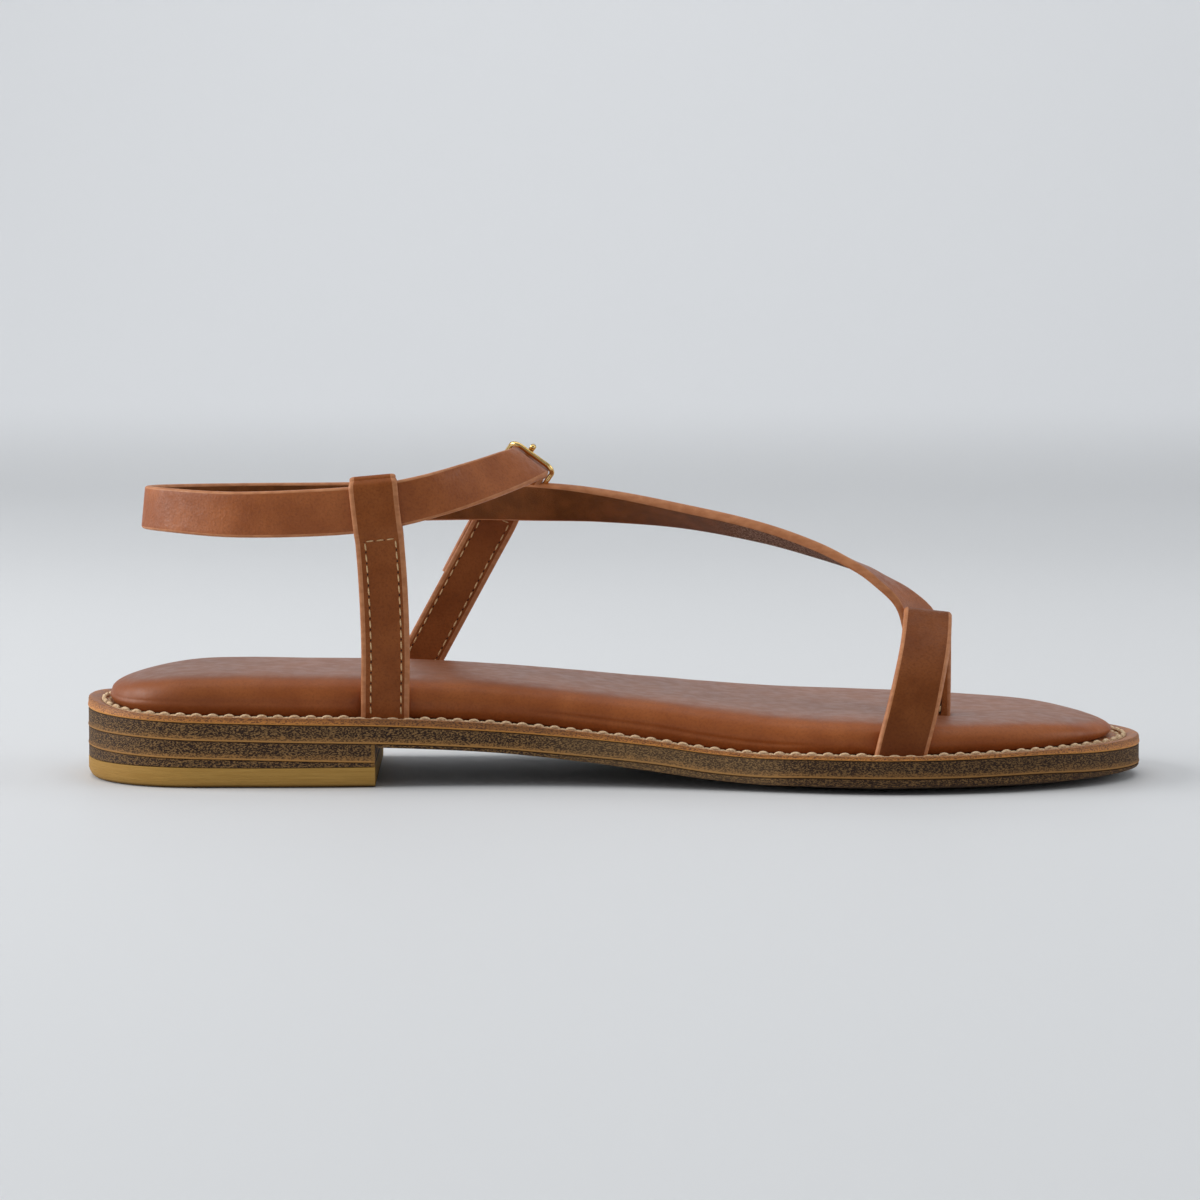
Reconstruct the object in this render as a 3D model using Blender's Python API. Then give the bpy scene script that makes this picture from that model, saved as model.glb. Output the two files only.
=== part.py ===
# Strappy flat sandal for the left foot, standing on its sole, toe toward +X.
# Sizes are in millimetres and are scaled to metres as each vertex is made.
# The inner (medial) side of the foot lies toward -Y.

import math
from collections import namedtuple

import bmesh
import bpy
from mathutils import Vector

MM = 0.001

# Overall sizes
SOLE_LENGTH = 256.0
HEEL_BACK_X = -SOLE_LENGTH / 2
TOE_TIP_X = SOLE_LENGTH / 2
HEEL_CAP_LENGTH = 30.0
HEEL_CAP_POWER = 2.15
TOE_CAP_LENGTH = 66.0
TOE_CAP_POWER = 2.0
BREAST_X = -57.6
BREAST_SLANT = 2.0
GAP = 0.3
SLIVER = 0.01

# Sole side details
RIB_PROUD = 0.15
RIB_HEIGHT = 0.8
EDGE_BEVEL = 0.4
TREAD_INSET = 12.0

# Straps
LONG_WIDTH = 10.5
LONG_THICK = 2.0
POST_WIDTH = 11.4
OUTER_WIDTH = 10.6
POST_THICK = 2.2
LOOP_THICK = 4.2
STRAP_EDGE = 0.55
SAMPLE_STEP = 4.5

# Buckle
WIRE_RADIUS = 0.62
FRAME_HALF_LENGTH = 6.1
FRAME_HALF_WIDTH = 5.46
FRAME_CORNER = 2.2
PRONG_RADIUS = 0.65
PRONG_OVERHANG = 0.8
PRONG_PLACE = -1.4
PRONG_SWELL = 0.15

# Plan of the sole: half widths from the heel's middle line
Plan = namedtuple("Plan", "x medial lateral")
PLAN = [
    Plan(-98.0, 29.3, 29.3),
    Plan(-70.0, 28.9, 29.6),
    Plan(-45.0, 27.2, 30.6),
    Plan(-20.0, 26.4, 32.8),
    Plan(5.0, 28.8, 36.6),
    Plan(30.0, 34.6, 41.2),
    Plan(48.0, 39.2, 43.8),
    Plan(62.0, 41.0, 44.6),
]

# Side profile of the sole: top of the welt, two seam lines, lower edge of the side, underside
Profile = namedtuple("Profile", "x top upper lower edge base")
PROFILE = [
    Profile(-128.0, 19.5, 16.6, 12.1, 10.6, 10.3),
    Profile(-116.0, 17.7, 15.9, 11.7, 10.4, 10.1),
    Profile(-100.0, 17.0, 15.3, 11.1, 10.1, 9.8),
    Profile(-82.0, 16.6, 14.85, 10.65, 9.9, 9.6),
    Profile(-54.0, 16.2, 14.25, 10.05, 9.2, 9.0),
    Profile(-30.0, 15.1, 13.0, 8.95, 8.0, 7.8),
    Profile(-10.0, 13.3, 11.5, 7.3, 6.1, 5.8),
    Profile(10.0, 11.15, 9.75, 5.5, 3.7, 3.4),
    Profile(22.0, 9.6, 8.4, 4.0, 2.4, 2.0),
    Profile(34.0, 8.85, 7.7, 3.3, 1.6, 0.9),
    Profile(46.0, 8.95, 7.8, 3.55, 1.65, 0.25),
    Profile(60.0, 8.95, 7.75, 3.6, 1.6, 0.0),
    Profile(80.0, 9.05, 7.9, 3.65, 1.8, 0.0),
    Profile(100.0, 9.5, 8.25, 3.9, 1.85, 0.0),
    Profile(114.0, 9.8, 7.8, 3.35, 2.0, 0.25),
    Profile(128.0, 9.9, 7.5, 2.9, 2.2, 1.0),
]

# Side profile of the heel under the sole: the seam of the two lifts, the top piece
Lift = namedtuple("Lift", "x seam piece")
LIFTS = [
    Lift(-128.0, 7.7, 4.8),
    Lift(-109.0, 7.0, 4.8),
    Lift(-85.0, 6.4, 4.6),
    Lift(-62.0, 5.8, 4.7),
    Lift(-50.0, 5.5, 4.75),
]

# Foot of the top piece, rounded in to the floor
Tuck = namedtuple("Tuck", "step height")
PIECE_TUCK = [
    Tuck(-1.2, 0.0),
    Tuck(-0.5, 0.6),
    Tuck(-0.1, 1.4),
    Tuck(0.1, 2.0),
]

# Height of the padded footbed above the welt
Pad = namedtuple("Pad", "x rise")
PADS = [
    Pad(-121.0, 5.0),
    Pad(-111.0, 7.25),
    Pad(-101.0, 8.5),
    Pad(-85.0, 8.95),
    Pad(0.0, 8.65),
    Pad(22.0, 9.0),
    Pad(34.0, 8.6),
    Pad(46.0, 7.65),
    Pad(60.0, 7.15),
    Pad(84.0, 6.2),
    Pad(96.0, 5.6),
    Pad(104.0, 5.0),
    Pad(113.0, 3.8),
    Pad(121.0, 2.5),
]

# Section of the footbed from its foot to its top
PadRing = namedtuple("PadRing", "inset share")
PAD_RINGS = [
    PadRing(6.5, 0.0),
    PadRing(5.8, 0.12),
    PadRing(5.6, 0.34),
    PadRing(6.0, 0.56),
    PadRing(7.2, 0.77),
    PadRing(9.4, 0.92),
    PadRing(12.6, 0.985),
    PadRing(17.0, 1.0),
]

# Straps: middle line, direction across the band toward its upper edge, width, thickness
Fold = namedtuple("Fold", "x y z across_x across_y across_z width thick")


def fold(x, y, z, across, width=LONG_WIDTH, thick=LONG_THICK):
    return Fold(x, y, z, across[0], across[1], across[2], width, thick)


BACKWARD = (-1.0, 0.0, 0.0)
FORWARD = (1.0, 0.0, 0.0)
LOOP_ACROSS = (0.993, 0.0, -0.12)
POST_ACROSS = (-0.88, 0.0, 0.47)

# From the toe slot over the instep, round the heel, through the buckle to the tip
LONG_STRAP = [
    fold(75.2, -10.0, 12.8, BACKWARD),
    fold(75.2, -10.0, 24.0, BACKWARD),
    fold(75.0, -10.0, 32.0, (-1.0, -0.08, 0.0)),
    fold(73.2, -10.0, 37.9, (-0.80, -0.55, -0.20)),
    fold(69.6, -9.6, 43.1, (-0.42, -0.89, -0.18)),
    fold(64.2, -8.6, 47.2, (-0.32, -0.94, 0.0)),
    fold(59.7, -7.0, 50.05, (-0.25, -0.965, 0.09), LONG_WIDTH, 2.2),
    fold(49.9, -3.0, 54.1, (-0.20, -0.94, 0.28), LONG_WIDTH, 2.3),
    fold(35.5, 2.0, 58.4, (-0.15, -0.91, 0.39), LONG_WIDTH, 2.3),
    fold(16.2, 9.0, 62.05, (-0.10, -0.87, 0.49), LONG_WIDTH, 2.3),
    fold(-3.5, 13.4, 64.4, (-0.05, -0.67, 0.74), LONG_WIDTH, 2.3),
    fold(-18.5, 15.2, 65.2, (0.0, -0.46, 0.888), LONG_WIDTH, 2.2),
    fold(-36.0, 23.2, 65.0, (0.0, -0.46, 0.89)),
    fold(-49.0, 26.8, 64.9, (0.0, -0.22, 0.97)),
    fold(-66.5, 27.5, 64.3, (0.0, -0.10, 1.0)),
    fold(-91.0, 22.3, 64.3, (0.03, -0.06, 1.0)),
    fold(-107.0, 12.3, 64.5, (0.07, -0.04, 1.0)),
    fold(-113.5, 0.0, 64.7, (0.10, 0.0, 1.0)),
    fold(-107.0, -12.3, 64.6, (0.07, 0.04, 1.0)),
    fold(-90.0, -23.3, 64.1, (0.03, 0.05, 1.0), 10.8),
    fold(-68.0, -28.2, 64.9, (0.0, 0.02, 1.0), 11.1),
    fold(-55.0, -28.6, 66.2, (-0.03, 0.0, 1.0), 10.9),
    fold(-43.4, -26.0, 68.6, (-0.16, 0.06, 0.98)),
    fold(-32.0, -17.6, 71.8, (-0.46, 0.22, 0.86)),
    fold(-24.0, -8.0, 74.4, (-0.70, 0.12, 0.70)),
    fold(-20.8, 0.0, 75.4, (-0.80, 0.0, 0.60)),
    fold(-20.8, 3.0, 74.9, (-0.81, 0.0, 0.59)),
    fold(-20.7, 6.2, 75.0, (-0.81, 0.0, 0.586), 10.4),
    fold(-20.7, 10.8, 75.9, (-0.81, 0.0, 0.586), 10.4),
    fold(-21.6, 17.2, 73.7, (-0.83, 0.0, 0.56), 9.8),
    fold(-24.4, 23.2, 71.0, (-0.86, 0.0, 0.51), 8.6),
    fold(-26.6, 27.4, 67.4, (-0.87, 0.0, 0.49), 9.4),
    fold(-30.45, 30.6, 60.7, POST_ACROSS, 10.0),
    fold(-34.6, 31.3, 53.15, POST_ACROSS, 10.0),
    fold(-39.2, 31.2, 44.6, POST_ACROSS, 9.8),
]

# From the inner edge of the sole over the big toe and down into the toe slot
TOE_LOOP = [
    fold(65.9, -36.2, 5.5, FORWARD, 12.0, 2.1),
    fold(67.2, -36.0, 11.0, FORWARD, 12.0, 2.1),
    fold(69.1, -35.1, 18.0, FORWARD, 12.0, 2.1),
    fold(71.1, -32.4, 25.8, FORWARD, 11.8, 2.1),
    fold(73.1, -26.8, 33.3, FORWARD, 11.7, 2.1),
    fold(74.2, -20.6, 38.2, LOOP_ACROSS, 11.6, 2.1),
    fold(74.7, -16.6, 40.05, LOOP_ACROSS, 11.5, 2.1),
    fold(74.9, -13.2, 38.8, LOOP_ACROSS, 11.5, 2.1),
    fold(75.1, -12.0, 35.0, LOOP_ACROSS, 11.5, 2.1),
    fold(75.2, -11.9, 25.0, FORWARD, 11.4, 2.1),
    fold(75.2, -11.9, 12.8, FORWARD, 11.2, 2.1),
]

# Inner post, folded over the ankle strap at its top
MEDIAL_POST = [
    fold(-54.5, -22.4, 13.5, BACKWARD, POST_WIDTH, POST_THICK),
    fold(-54.4, -23.1, 20.0, BACKWARD, POST_WIDTH, POST_THICK),
    fold(-54.1, -25.4, 32.5, BACKWARD, POST_WIDTH, POST_THICK),
    fold(-54.4, -27.5, 46.7, BACKWARD, POST_WIDTH, POST_THICK),
    fold(-55.1, -28.5, 58.0, BACKWARD, POST_WIDTH, POST_THICK),
    fold(-55.4, -28.6, 60.6, BACKWARD, POST_WIDTH, LOOP_THICK),
    fold(-56.1, -28.6, 66.6, BACKWARD, POST_WIDTH, LOOP_THICK),
    fold(-56.55, -28.5, 71.3, BACKWARD, POST_WIDTH, LOOP_THICK),
    fold(-56.65, -28.5, 72.4, BACKWARD, POST_WIDTH - 0.6, 2.4),
]

# Outer post, leaning forward to the buckle and folded round its bar
LATERAL_POST = [
    fold(-54.8, 25.0, 13.5, POST_ACROSS, OUTER_WIDTH, POST_THICK),
    fold(-52.1, 25.7, 18.6, POST_ACROSS, OUTER_WIDTH, POST_THICK),
    fold(-47.95, 27.0, 26.4, POST_ACROSS, OUTER_WIDTH, POST_THICK),
    fold(-39.0, 28.8, 42.9, POST_ACROSS, OUTER_WIDTH, POST_THICK),
    fold(-33.5, 29.4, 53.0, POST_ACROSS, OUTER_WIDTH, POST_THICK),
    fold(-29.5, 28.6, 60.4, POST_ACROSS, OUTER_WIDTH, POST_THICK),
    fold(-26.8, 25.6, 66.1, (-0.87, 0.0, 0.49), 10.0, POST_THICK),
    fold(-25.3, 22.0, 69.0, (-0.86, 0.0, 0.51), 9.2, 2.8),
    fold(-24.0, 18.6, 70.6, (-0.83, 0.0, 0.56), 9.4, 4.0),
    fold(-22.9, 16.0, 71.4, (-0.81, 0.0, 0.586), 10.0, 4.2),
    fold(-22.3, 14.0, 72.4, (-0.81, 0.0, 0.586), 10.0, 3.4),
]

# Buckle placing: middle, direction of its bars, direction of the strap's tip
BUCKLE_MIDDLE = Vector((-21.43, 11.49, 74.33))
BUCKLE_BAR = Vector((0.81, 0.0, -0.586)).normalized()
BUCKLE_RUN = Vector((-0.316, 0.826, -0.467)).normalized()
BUCKLE_OUT = BUCKLE_BAR.cross(BUCKLE_RUN).normalized()


def clear_scene():
    for item in list(bpy.data.objects):
        bpy.data.objects.remove(item, do_unlink=True)


def material(name, colour, roughness, metallic=0.0):
    made = bpy.data.materials.new(name)
    made.use_nodes = True
    shader = made.node_tree.nodes["Principled BSDF"]
    shader.inputs["Base Color"].default_value = (*colour, 1.0)
    shader.inputs["Roughness"].default_value = roughness
    shader.inputs["Metallic"].default_value = metallic
    return made


def smooth(rows, column, x):
    """Read a column at x along a smooth curve through the table's rows."""
    if x <= rows[0].x:
        return getattr(rows[0], column)
    if x >= rows[-1].x:
        return getattr(rows[-1], column)
    at = next(i for i in range(len(rows) - 1) if x <= rows[i + 1].x)
    span = rows[at + 1].x - rows[at].x
    t = (x - rows[at].x) / span
    values = [getattr(row, column) for row in rows]

    def slope(i):
        low = max(i - 1, 0)
        high = min(i + 1, len(rows) - 1)
        return (values[high] - values[low]) / (rows[high].x - rows[low].x)

    rise = values[at + 1] - values[at]
    first = slope(at) * span
    last = slope(at + 1) * span
    return values[at] + t * (first + t * ((3 * rise - 2 * first - last) + t * (first + last - 2 * rise)))


def cap_share(distance, length, power):
    """Share of the full half width at a distance from the round end of the sole."""
    reach = 1.0 - min(max(distance / length, 0.0), 1.0)
    return (1.0 - reach ** power) ** (1.0 / power)


def half_widths(x):
    """Distances from the heel's middle line to the inner and outer edge at x."""
    medial = smooth(PLAN, "medial", x)
    lateral = smooth(PLAN, "lateral", x)
    heel = cap_share(x - HEEL_BACK_X, HEEL_CAP_LENGTH, HEEL_CAP_POWER)
    toe = cap_share(TOE_TIP_X - x, TOE_CAP_LENGTH, TOE_CAP_POWER)
    return medial * heel * toe, lateral * heel * toe


def box_middle():
    """How far the box's middle lies to the outer side of the heel's middle line."""
    reach = [half_widths(HEEL_BACK_X + i) for i in range(int(SOLE_LENGTH) + 1)]
    return (max(r[1] for r in reach) - max(r[0] for r in reach)) / 2


SIDE_SHIFT = box_middle()


def place(x, y, z):
    return Vector((x * MM, (y - SIDE_SHIFT) * MM, z * MM))


def stations(start, end, count):
    """Stations along the sole, closer together at a round end."""
    found = []
    for i in range(count + 1):
        share = i / count
        if start == HEEL_BACK_X and end == TOE_TIP_X:
            share = (1 - math.cos(math.pi * share)) / 2
        elif start == HEEL_BACK_X:
            share = 1 - math.cos(math.pi / 2 * share)
        elif end == TOE_TIP_X:
            share = math.sin(math.pi / 2 * share)
        found.append(start + (end - start) * share)
    return found


def edge_points(places, side):
    """Edge of the sole on one side with its outward direction at each station."""
    sign = -1 if side == "medial" else 1
    column = 0 if side == "medial" else 1
    rows = [Vector((x, sign * half_widths(x)[column])) for x in places]
    points = []
    for i, point in enumerate(rows):
        along = rows[min(i + 1, len(rows) - 1)] - rows[max(i - 1, 0)]
        out = Vector((-along.y, along.x)) * sign
        if abs(point.x - HEEL_BACK_X) < 1e-6:
            out = Vector((-1.0, 0.0))
        if abs(point.x - TOE_TIP_X) < 1e-6:
            out = Vector((1.0, 0.0))
        points.append((point, out.normalized()))
    return points


def layer(name, places, rings, paint):
    """Close a stack of outlines; each ring gives an outward step and a height rule."""
    mesh = bmesh.new()
    sides = {side: edge_points(places, side) for side in ("medial", "lateral")}
    round_start = abs(places[0] - HEEL_BACK_X) < 1e-6
    round_end = abs(places[-1] - TOE_TIP_X) < 1e-6
    last = len(places) - 1
    stack = []
    for step, height in rings:
        ring = {"medial": [], "lateral": []}
        for side in ring:
            for i, (point, out) in enumerate(sides[side]):
                tip = (i == 0 and round_start) or (i == last and round_end)
                if tip and side == "lateral":
                    ring[side].append(ring["medial"][i])
                    continue
                spot = point + out * step
                if (i == 0 and not round_start) or (i == last and not round_end):
                    spot.x = point.x - BREAST_SLANT / 2 * (1 if side == "lateral" else -1)
                ring[side].append(mesh.verts.new(place(spot.x, spot.y, height(spot.x))))
        stack.append(ring)
    for low, high in zip(stack, stack[1:]):
        for side in low:
            for i in range(last):
                mesh.faces.new((low[side][i], low[side][i + 1], high[side][i + 1], high[side][i]))
        for i, is_round in ((0, round_start), (last, round_end)):
            if not is_round:
                corners = (low["medial"][i], low["lateral"][i], high["lateral"][i], high["medial"][i])
                mesh.faces.new(corners)
    for ring in (stack[0], stack[-1]):
        for i in range(last):
            near = ring["medial"]
            far = ring["lateral"]
            corners = []
            for vert in (near[i], near[i + 1], far[i + 1], far[i]):
                if vert not in corners:
                    corners.append(vert)
            mesh.faces.new(corners)
    return finish_mesh(name, mesh, paint)


def finish_mesh(name, mesh, paint):
    bmesh.ops.recalc_face_normals(mesh, faces=mesh.faces)
    bmesh.ops.triangulate(mesh, faces=mesh.faces)
    data = bpy.data.meshes.new(name)
    mesh.to_mesh(data)
    mesh.free()
    data.materials.append(paint)
    made = bpy.data.objects.new(name, data)
    bpy.context.scene.collection.objects.link(made)
    return made


def curve_point(rows, at, t):
    """Smooth curve through the folds of a strap, with the other columns alike."""
    before = rows[max(at - 1, 0)]
    start = rows[at]
    end = rows[at + 1]
    after = rows[min(at + 2, len(rows) - 1)]

    def gap(a, b):
        return max(math.dist((a.x, a.y, a.z), (b.x, b.y, b.z)), 1e-6)

    span = gap(start, end)
    values = []
    for a, b, c, d in zip(before, start, end, after):
        first = span * (c - a) / (gap(before, start) + span) if before is not start else c - b
        last = span * (d - b) / (gap(end, after) + span) if after is not end else c - b
        rise = c - b
        values.append(b + t * (first + t * ((3 * rise - 2 * first - last) + t * (first + last - 2 * rise))))
    return Fold(*values)


def strap_samples(rows):
    found = []
    for at in range(len(rows) - 1):
        length = math.dist(rows[at][:3], rows[at + 1][:3])
        steps = max(2, math.ceil(length / SAMPLE_STEP))
        found.extend(curve_point(rows, at, i / steps) for i in range(steps))
    found.append(rows[-1])
    return found


def band_section(width, thick):
    """Eight corners of a band's section, its edges eased."""
    side = width / 2
    face = thick / 2
    ease = min(STRAP_EDGE, face * 0.6)
    quarter = [(side - ease, face), (side, face - ease)]
    mirrored = [(side, ease - face), (side - ease, -face)]
    right = quarter + mirrored
    left = [(-across, -out) for across, out in right]
    return right + left


def strap(name, rows, paint, clearance=0.0, start_extra=0.0):
    """Sweep a band along its folds; a clearance makes the fatter shape that cuts its way."""
    samples = strap_samples(rows)
    spots = [Vector(s[:3]) for s in samples]
    if start_extra:
        spots[0] = spots[0] + (spots[0] - spots[1]).normalized() * start_extra
    mesh = bmesh.new()
    hoops = []
    for i, sample in enumerate(samples):
        along = (spots[min(i + 1, len(spots) - 1)] - spots[max(i - 1, 0)]).normalized()
        across = Vector(sample[3:6])
        across = (across - along * across.dot(along)).normalized()
        out = along.cross(across)
        hoop = []
        for side, face in band_section(sample.width + 2 * clearance, sample.thick + 2 * clearance):
            spot = spots[i] + across * side + out * face
            hoop.append(mesh.verts.new(place(*spot)))
        hoops.append(hoop)
    close_tube(mesh, hoops)
    return finish_mesh(name, mesh, paint)


def close_tube(mesh, hoops, ring=False):
    count = len(hoops[0])
    pairs = list(zip(hoops, hoops[1:]))
    if ring:
        pairs.append((hoops[-1], hoops[0]))
    for near, far in pairs:
        for i in range(count):
            j = (i + 1) % count
            mesh.faces.new((near[i], near[j], far[j], far[i]))
    if not ring:
        mesh.faces.new(hoops[0])
        mesh.faces.new(hoops[-1])


def buckle_spot(bar, run, out):
    return BUCKLE_MIDDLE + BUCKLE_BAR * bar + BUCKLE_RUN * run + BUCKLE_OUT * out


def wire(name, path, radii, paint, ring=False, sides=8):
    """Round wire along a path of points."""
    mesh = bmesh.new()
    hoops = []
    count = len(path)
    for i, spot in enumerate(path):
        if ring:
            along = (path[(i + 1) % count] - path[i - 1]).normalized()
        else:
            along = (path[min(i + 1, count - 1)] - path[max(i - 1, 0)]).normalized()
        level = BUCKLE_BAR if abs(along.dot(BUCKLE_BAR)) < 0.7 and not ring else BUCKLE_OUT
        level = (level - along * level.dot(along)).normalized()
        third = along.cross(level)
        hoop = []
        for k in range(sides):
            angle = 2 * math.pi * (k + 0.5) / sides
            point = spot + (level * math.cos(angle) + third * math.sin(angle)) * radii[i]
            hoop.append(mesh.verts.new(place(*point)))
        hoops.append(hoop)
    close_tube(mesh, hoops, ring)
    return finish_mesh(name, mesh, paint)


def buckle_frame(name, paint, clearance=0.0):
    """Rounded oblong of wire round the strap."""
    corner_steps = 4
    bar = FRAME_HALF_LENGTH - FRAME_CORNER
    run = FRAME_HALF_WIDTH - FRAME_CORNER
    path = []
    for quarter, (side, end) in enumerate(((1, 1), (-1, 1), (-1, -1), (1, -1))):
        for i in range(corner_steps + 1):
            angle = math.pi / 2 * (quarter + i / corner_steps)
            reach = FRAME_CORNER * math.cos(angle)
            rise = FRAME_CORNER * math.sin(angle)
            path.append(buckle_spot(side * bar + reach, end * run + rise, 0.0))
    return wire(name, path, [WIRE_RADIUS + clearance] * len(path), paint, ring=True)


def buckle_prong(name, paint, clearance=0.0):
    """Prong curled round the far bar, through the strap and onto the near bar."""
    curl = WIRE_RADIUS + GAP + PRONG_RADIUS
    path = []
    radii = []
    turns = 7
    for i in range(turns + 1):
        angle = math.radians(-130 + 220 * i / turns)
        run = FRAME_HALF_WIDTH + curl * math.cos(angle)
        path.append(buckle_spot(PRONG_PLACE, run, curl * math.sin(angle)))
        radii.append(PRONG_RADIUS)
    runs = 5
    for i in range(1, runs + 1):
        share = i / runs
        run = FRAME_HALF_WIDTH - share * (2 * FRAME_HALF_WIDTH + PRONG_OVERHANG)
        path.append(buckle_spot(PRONG_PLACE, run, curl))
        radii.append(PRONG_RADIUS * (1 + PRONG_SWELL * share))
    return wire(name, path, [r + clearance for r in radii], paint)


def combine(target, other, operation):
    """Apply an exact Boolean and take its second solid away."""
    other.hide_render = True
    other.display_type = "WIRE"
    step = target.modifiers.new(operation.lower(), "BOOLEAN")
    step.operation = operation
    step.object = other
    step.solver = "EXACT"
    graph = bpy.context.evaluated_depsgraph_get()
    result = bpy.data.meshes.new_from_object(target.evaluated_get(graph))
    target.modifiers.remove(step)
    target.data = result
    tidy = bmesh.new()
    tidy.from_mesh(result)
    bmesh.ops.remove_doubles(tidy, verts=tidy.verts, dist=SLIVER * MM)
    bmesh.ops.dissolve_degenerate(tidy, edges=tidy.edges, dist=SLIVER * MM)
    bmesh.ops.triangulate(tidy, faces=tidy.faces)
    tidy.to_mesh(result)
    tidy.free()
    bpy.data.objects.remove(other, do_unlink=True)


def level(column, lift=0.0, rows=PROFILE):
    """Height rule of a seam line, never under the floor."""
    return lambda x: max(smooth(rows, column, x), 0.0) + lift


def between(low, high, share):
    """Height rule part of the way from one rule to another."""
    return lambda x: low(x) + (high(x) - low(x)) * share


def pad_height(share):
    return lambda x: smooth(PROFILE, "top", x) + GAP / 2 + share * smooth(PADS, "rise", x)


def ribbed(low, high, low_rows=PROFILE, high_rows=PROFILE):
    """Side of one sole layer: a rib along its foot, a flat band and an eased top edge."""
    half = GAP / 2
    return [
        (RIB_PROUD - EDGE_BEVEL, level(low, half, low_rows)),
        (RIB_PROUD, level(low, half + EDGE_BEVEL, low_rows)),
        (RIB_PROUD, level(low, half + RIB_HEIGHT, low_rows)),
        (0.0, level(low, half + RIB_HEIGHT + EDGE_BEVEL, low_rows)),
        (0.0, level(high, -half, high_rows)),
    ]


def build():
    clear_scene()
    leather = material("strap_leather", (0.20, 0.075, 0.028), 0.5)
    pad_leather = material("footbed_leather", (0.19, 0.065, 0.026), 0.45)
    welt_leather = material("welt_leather", (0.30, 0.14, 0.06), 0.6)
    stack_board = material("sole_board", (0.085, 0.058, 0.04), 0.55)
    tread_rubber = material("sole_rubber", (0.07, 0.05, 0.035), 0.7)
    piece_rubber = material("top_piece_rubber", (0.33, 0.21, 0.08), 0.6)
    gold = material("buckle_gold", (0.75, 0.52, 0.22), 0.25, 1.0)

    # Sole layers, from the floor up
    whole = stations(HEEL_BACK_X, TOE_TIP_X, 36)
    heel = stations(HEEL_BACK_X, BREAST_X, 16)
    fore = stations(BREAST_X + GAP, TOE_TIP_X, 30)
    half = GAP / 2
    top_piece_rings = [(tuck.step, lambda x, z=tuck.height: z) for tuck in PIECE_TUCK]
    top_piece_rings.append((PIECE_TUCK[-1].step, level("piece", -half, LIFTS)))
    layer("heel_top_piece", heel, top_piece_rings, piece_rubber)
    lower_lift_rings = [
        (0.0, level("piece", half, LIFTS)),
        (0.0, level("seam", -half, LIFTS)),
    ]
    layer("heel_lift_lower", heel, lower_lift_rings, stack_board)
    layer("heel_lift_upper", heel, ribbed("seam", "lower", LIFTS, PROFILE), stack_board)
    base = level("base")
    edge = level("edge")
    outsole_rings = [
        (-TREAD_INSET, base),
        (-TREAD_INSET / 2, between(base, edge, 0.3)),
        (-1.4, between(base, edge, 0.8)),
        (-0.2, edge),
        (0.0, level("lower", -half)),
    ]
    layer("outsole", fore, outsole_rings, tread_rubber)
    layer("midsole", whole, ribbed("lower", "upper"), stack_board)
    foot = level("upper", half)
    ledge = level("top", -half)
    welt_rings = [
        (RIB_PROUD - EDGE_BEVEL, foot),
        (RIB_PROUD, between(foot, ledge, 0.25)),
        (0.0, between(foot, ledge, 0.5)),
        (0.0, between(foot, ledge, 0.75)),
        (-EDGE_BEVEL, ledge),
    ]
    layer("welt", whole, welt_rings, welt_leather)

    # Padded footbed, cut where the straps pass down beside it and through it
    pad_rings = [(-ring.inset, pad_height(ring.share)) for ring in PAD_RINGS]
    footbed = layer("footbed", whole, pad_rings, pad_leather)
    beside = (("toe_way", TOE_LOOP[:4]), ("inner_way", MEDIAL_POST[:3]), ("outer_way", LATERAL_POST[:3]))
    for name, rows in beside:
        combine(footbed, strap(name, rows, leather, GAP), "DIFFERENCE")
    through = (("slot_strap", LONG_STRAP[:3]), ("slot_leg", TOE_LOOP[:-4:-1]))
    for name, rows in through:
        combine(footbed, strap(name, rows, leather, GAP, GAP), "DIFFERENCE")

    # Straps, joined where they cross
    upper = strap("upper", LONG_STRAP, leather)
    for name, rows in (("toe_loop", TOE_LOOP), ("inner_post", MEDIAL_POST), ("outer_post", LATERAL_POST)):
        combine(upper, strap(name, rows, leather), "UNION")
    ledge_rings = [(1.0, level("lower")), (1.0, level("top", half))]
    combine(upper, layer("ledge", whole, ledge_rings, welt_leather), "DIFFERENCE")
    combine(upper, buckle_frame("frame_cutter", gold, GAP), "DIFFERENCE")
    combine(upper, buckle_prong("prong_cutter", gold, GAP), "DIFFERENCE")

    # Buckle
    buckle_frame("buckle_frame", gold)
    buckle_prong("buckle_prong", gold)


build()
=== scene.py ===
import math
from collections import namedtuple

import bmesh
import bpy
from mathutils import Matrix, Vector, noise


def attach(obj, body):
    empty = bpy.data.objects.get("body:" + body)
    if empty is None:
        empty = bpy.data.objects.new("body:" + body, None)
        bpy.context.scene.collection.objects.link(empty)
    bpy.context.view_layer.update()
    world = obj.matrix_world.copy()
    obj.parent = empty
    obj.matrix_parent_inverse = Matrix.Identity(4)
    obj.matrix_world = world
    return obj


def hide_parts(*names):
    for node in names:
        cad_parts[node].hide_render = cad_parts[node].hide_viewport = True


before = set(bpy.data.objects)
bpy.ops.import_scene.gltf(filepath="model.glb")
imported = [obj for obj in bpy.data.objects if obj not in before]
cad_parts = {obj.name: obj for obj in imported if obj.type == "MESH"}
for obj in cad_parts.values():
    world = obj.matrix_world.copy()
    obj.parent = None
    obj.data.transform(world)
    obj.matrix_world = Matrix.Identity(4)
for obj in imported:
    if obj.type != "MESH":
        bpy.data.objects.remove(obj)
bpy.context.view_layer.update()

# Strappy flat sandal for the left foot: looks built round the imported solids.
# Tables are in millimetres, with Y from the heel's middle line, and are scaled as vertices are made.

MM = 0.001
TINY = 1e-6
WELD_DISTANCE = 1e-7

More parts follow.
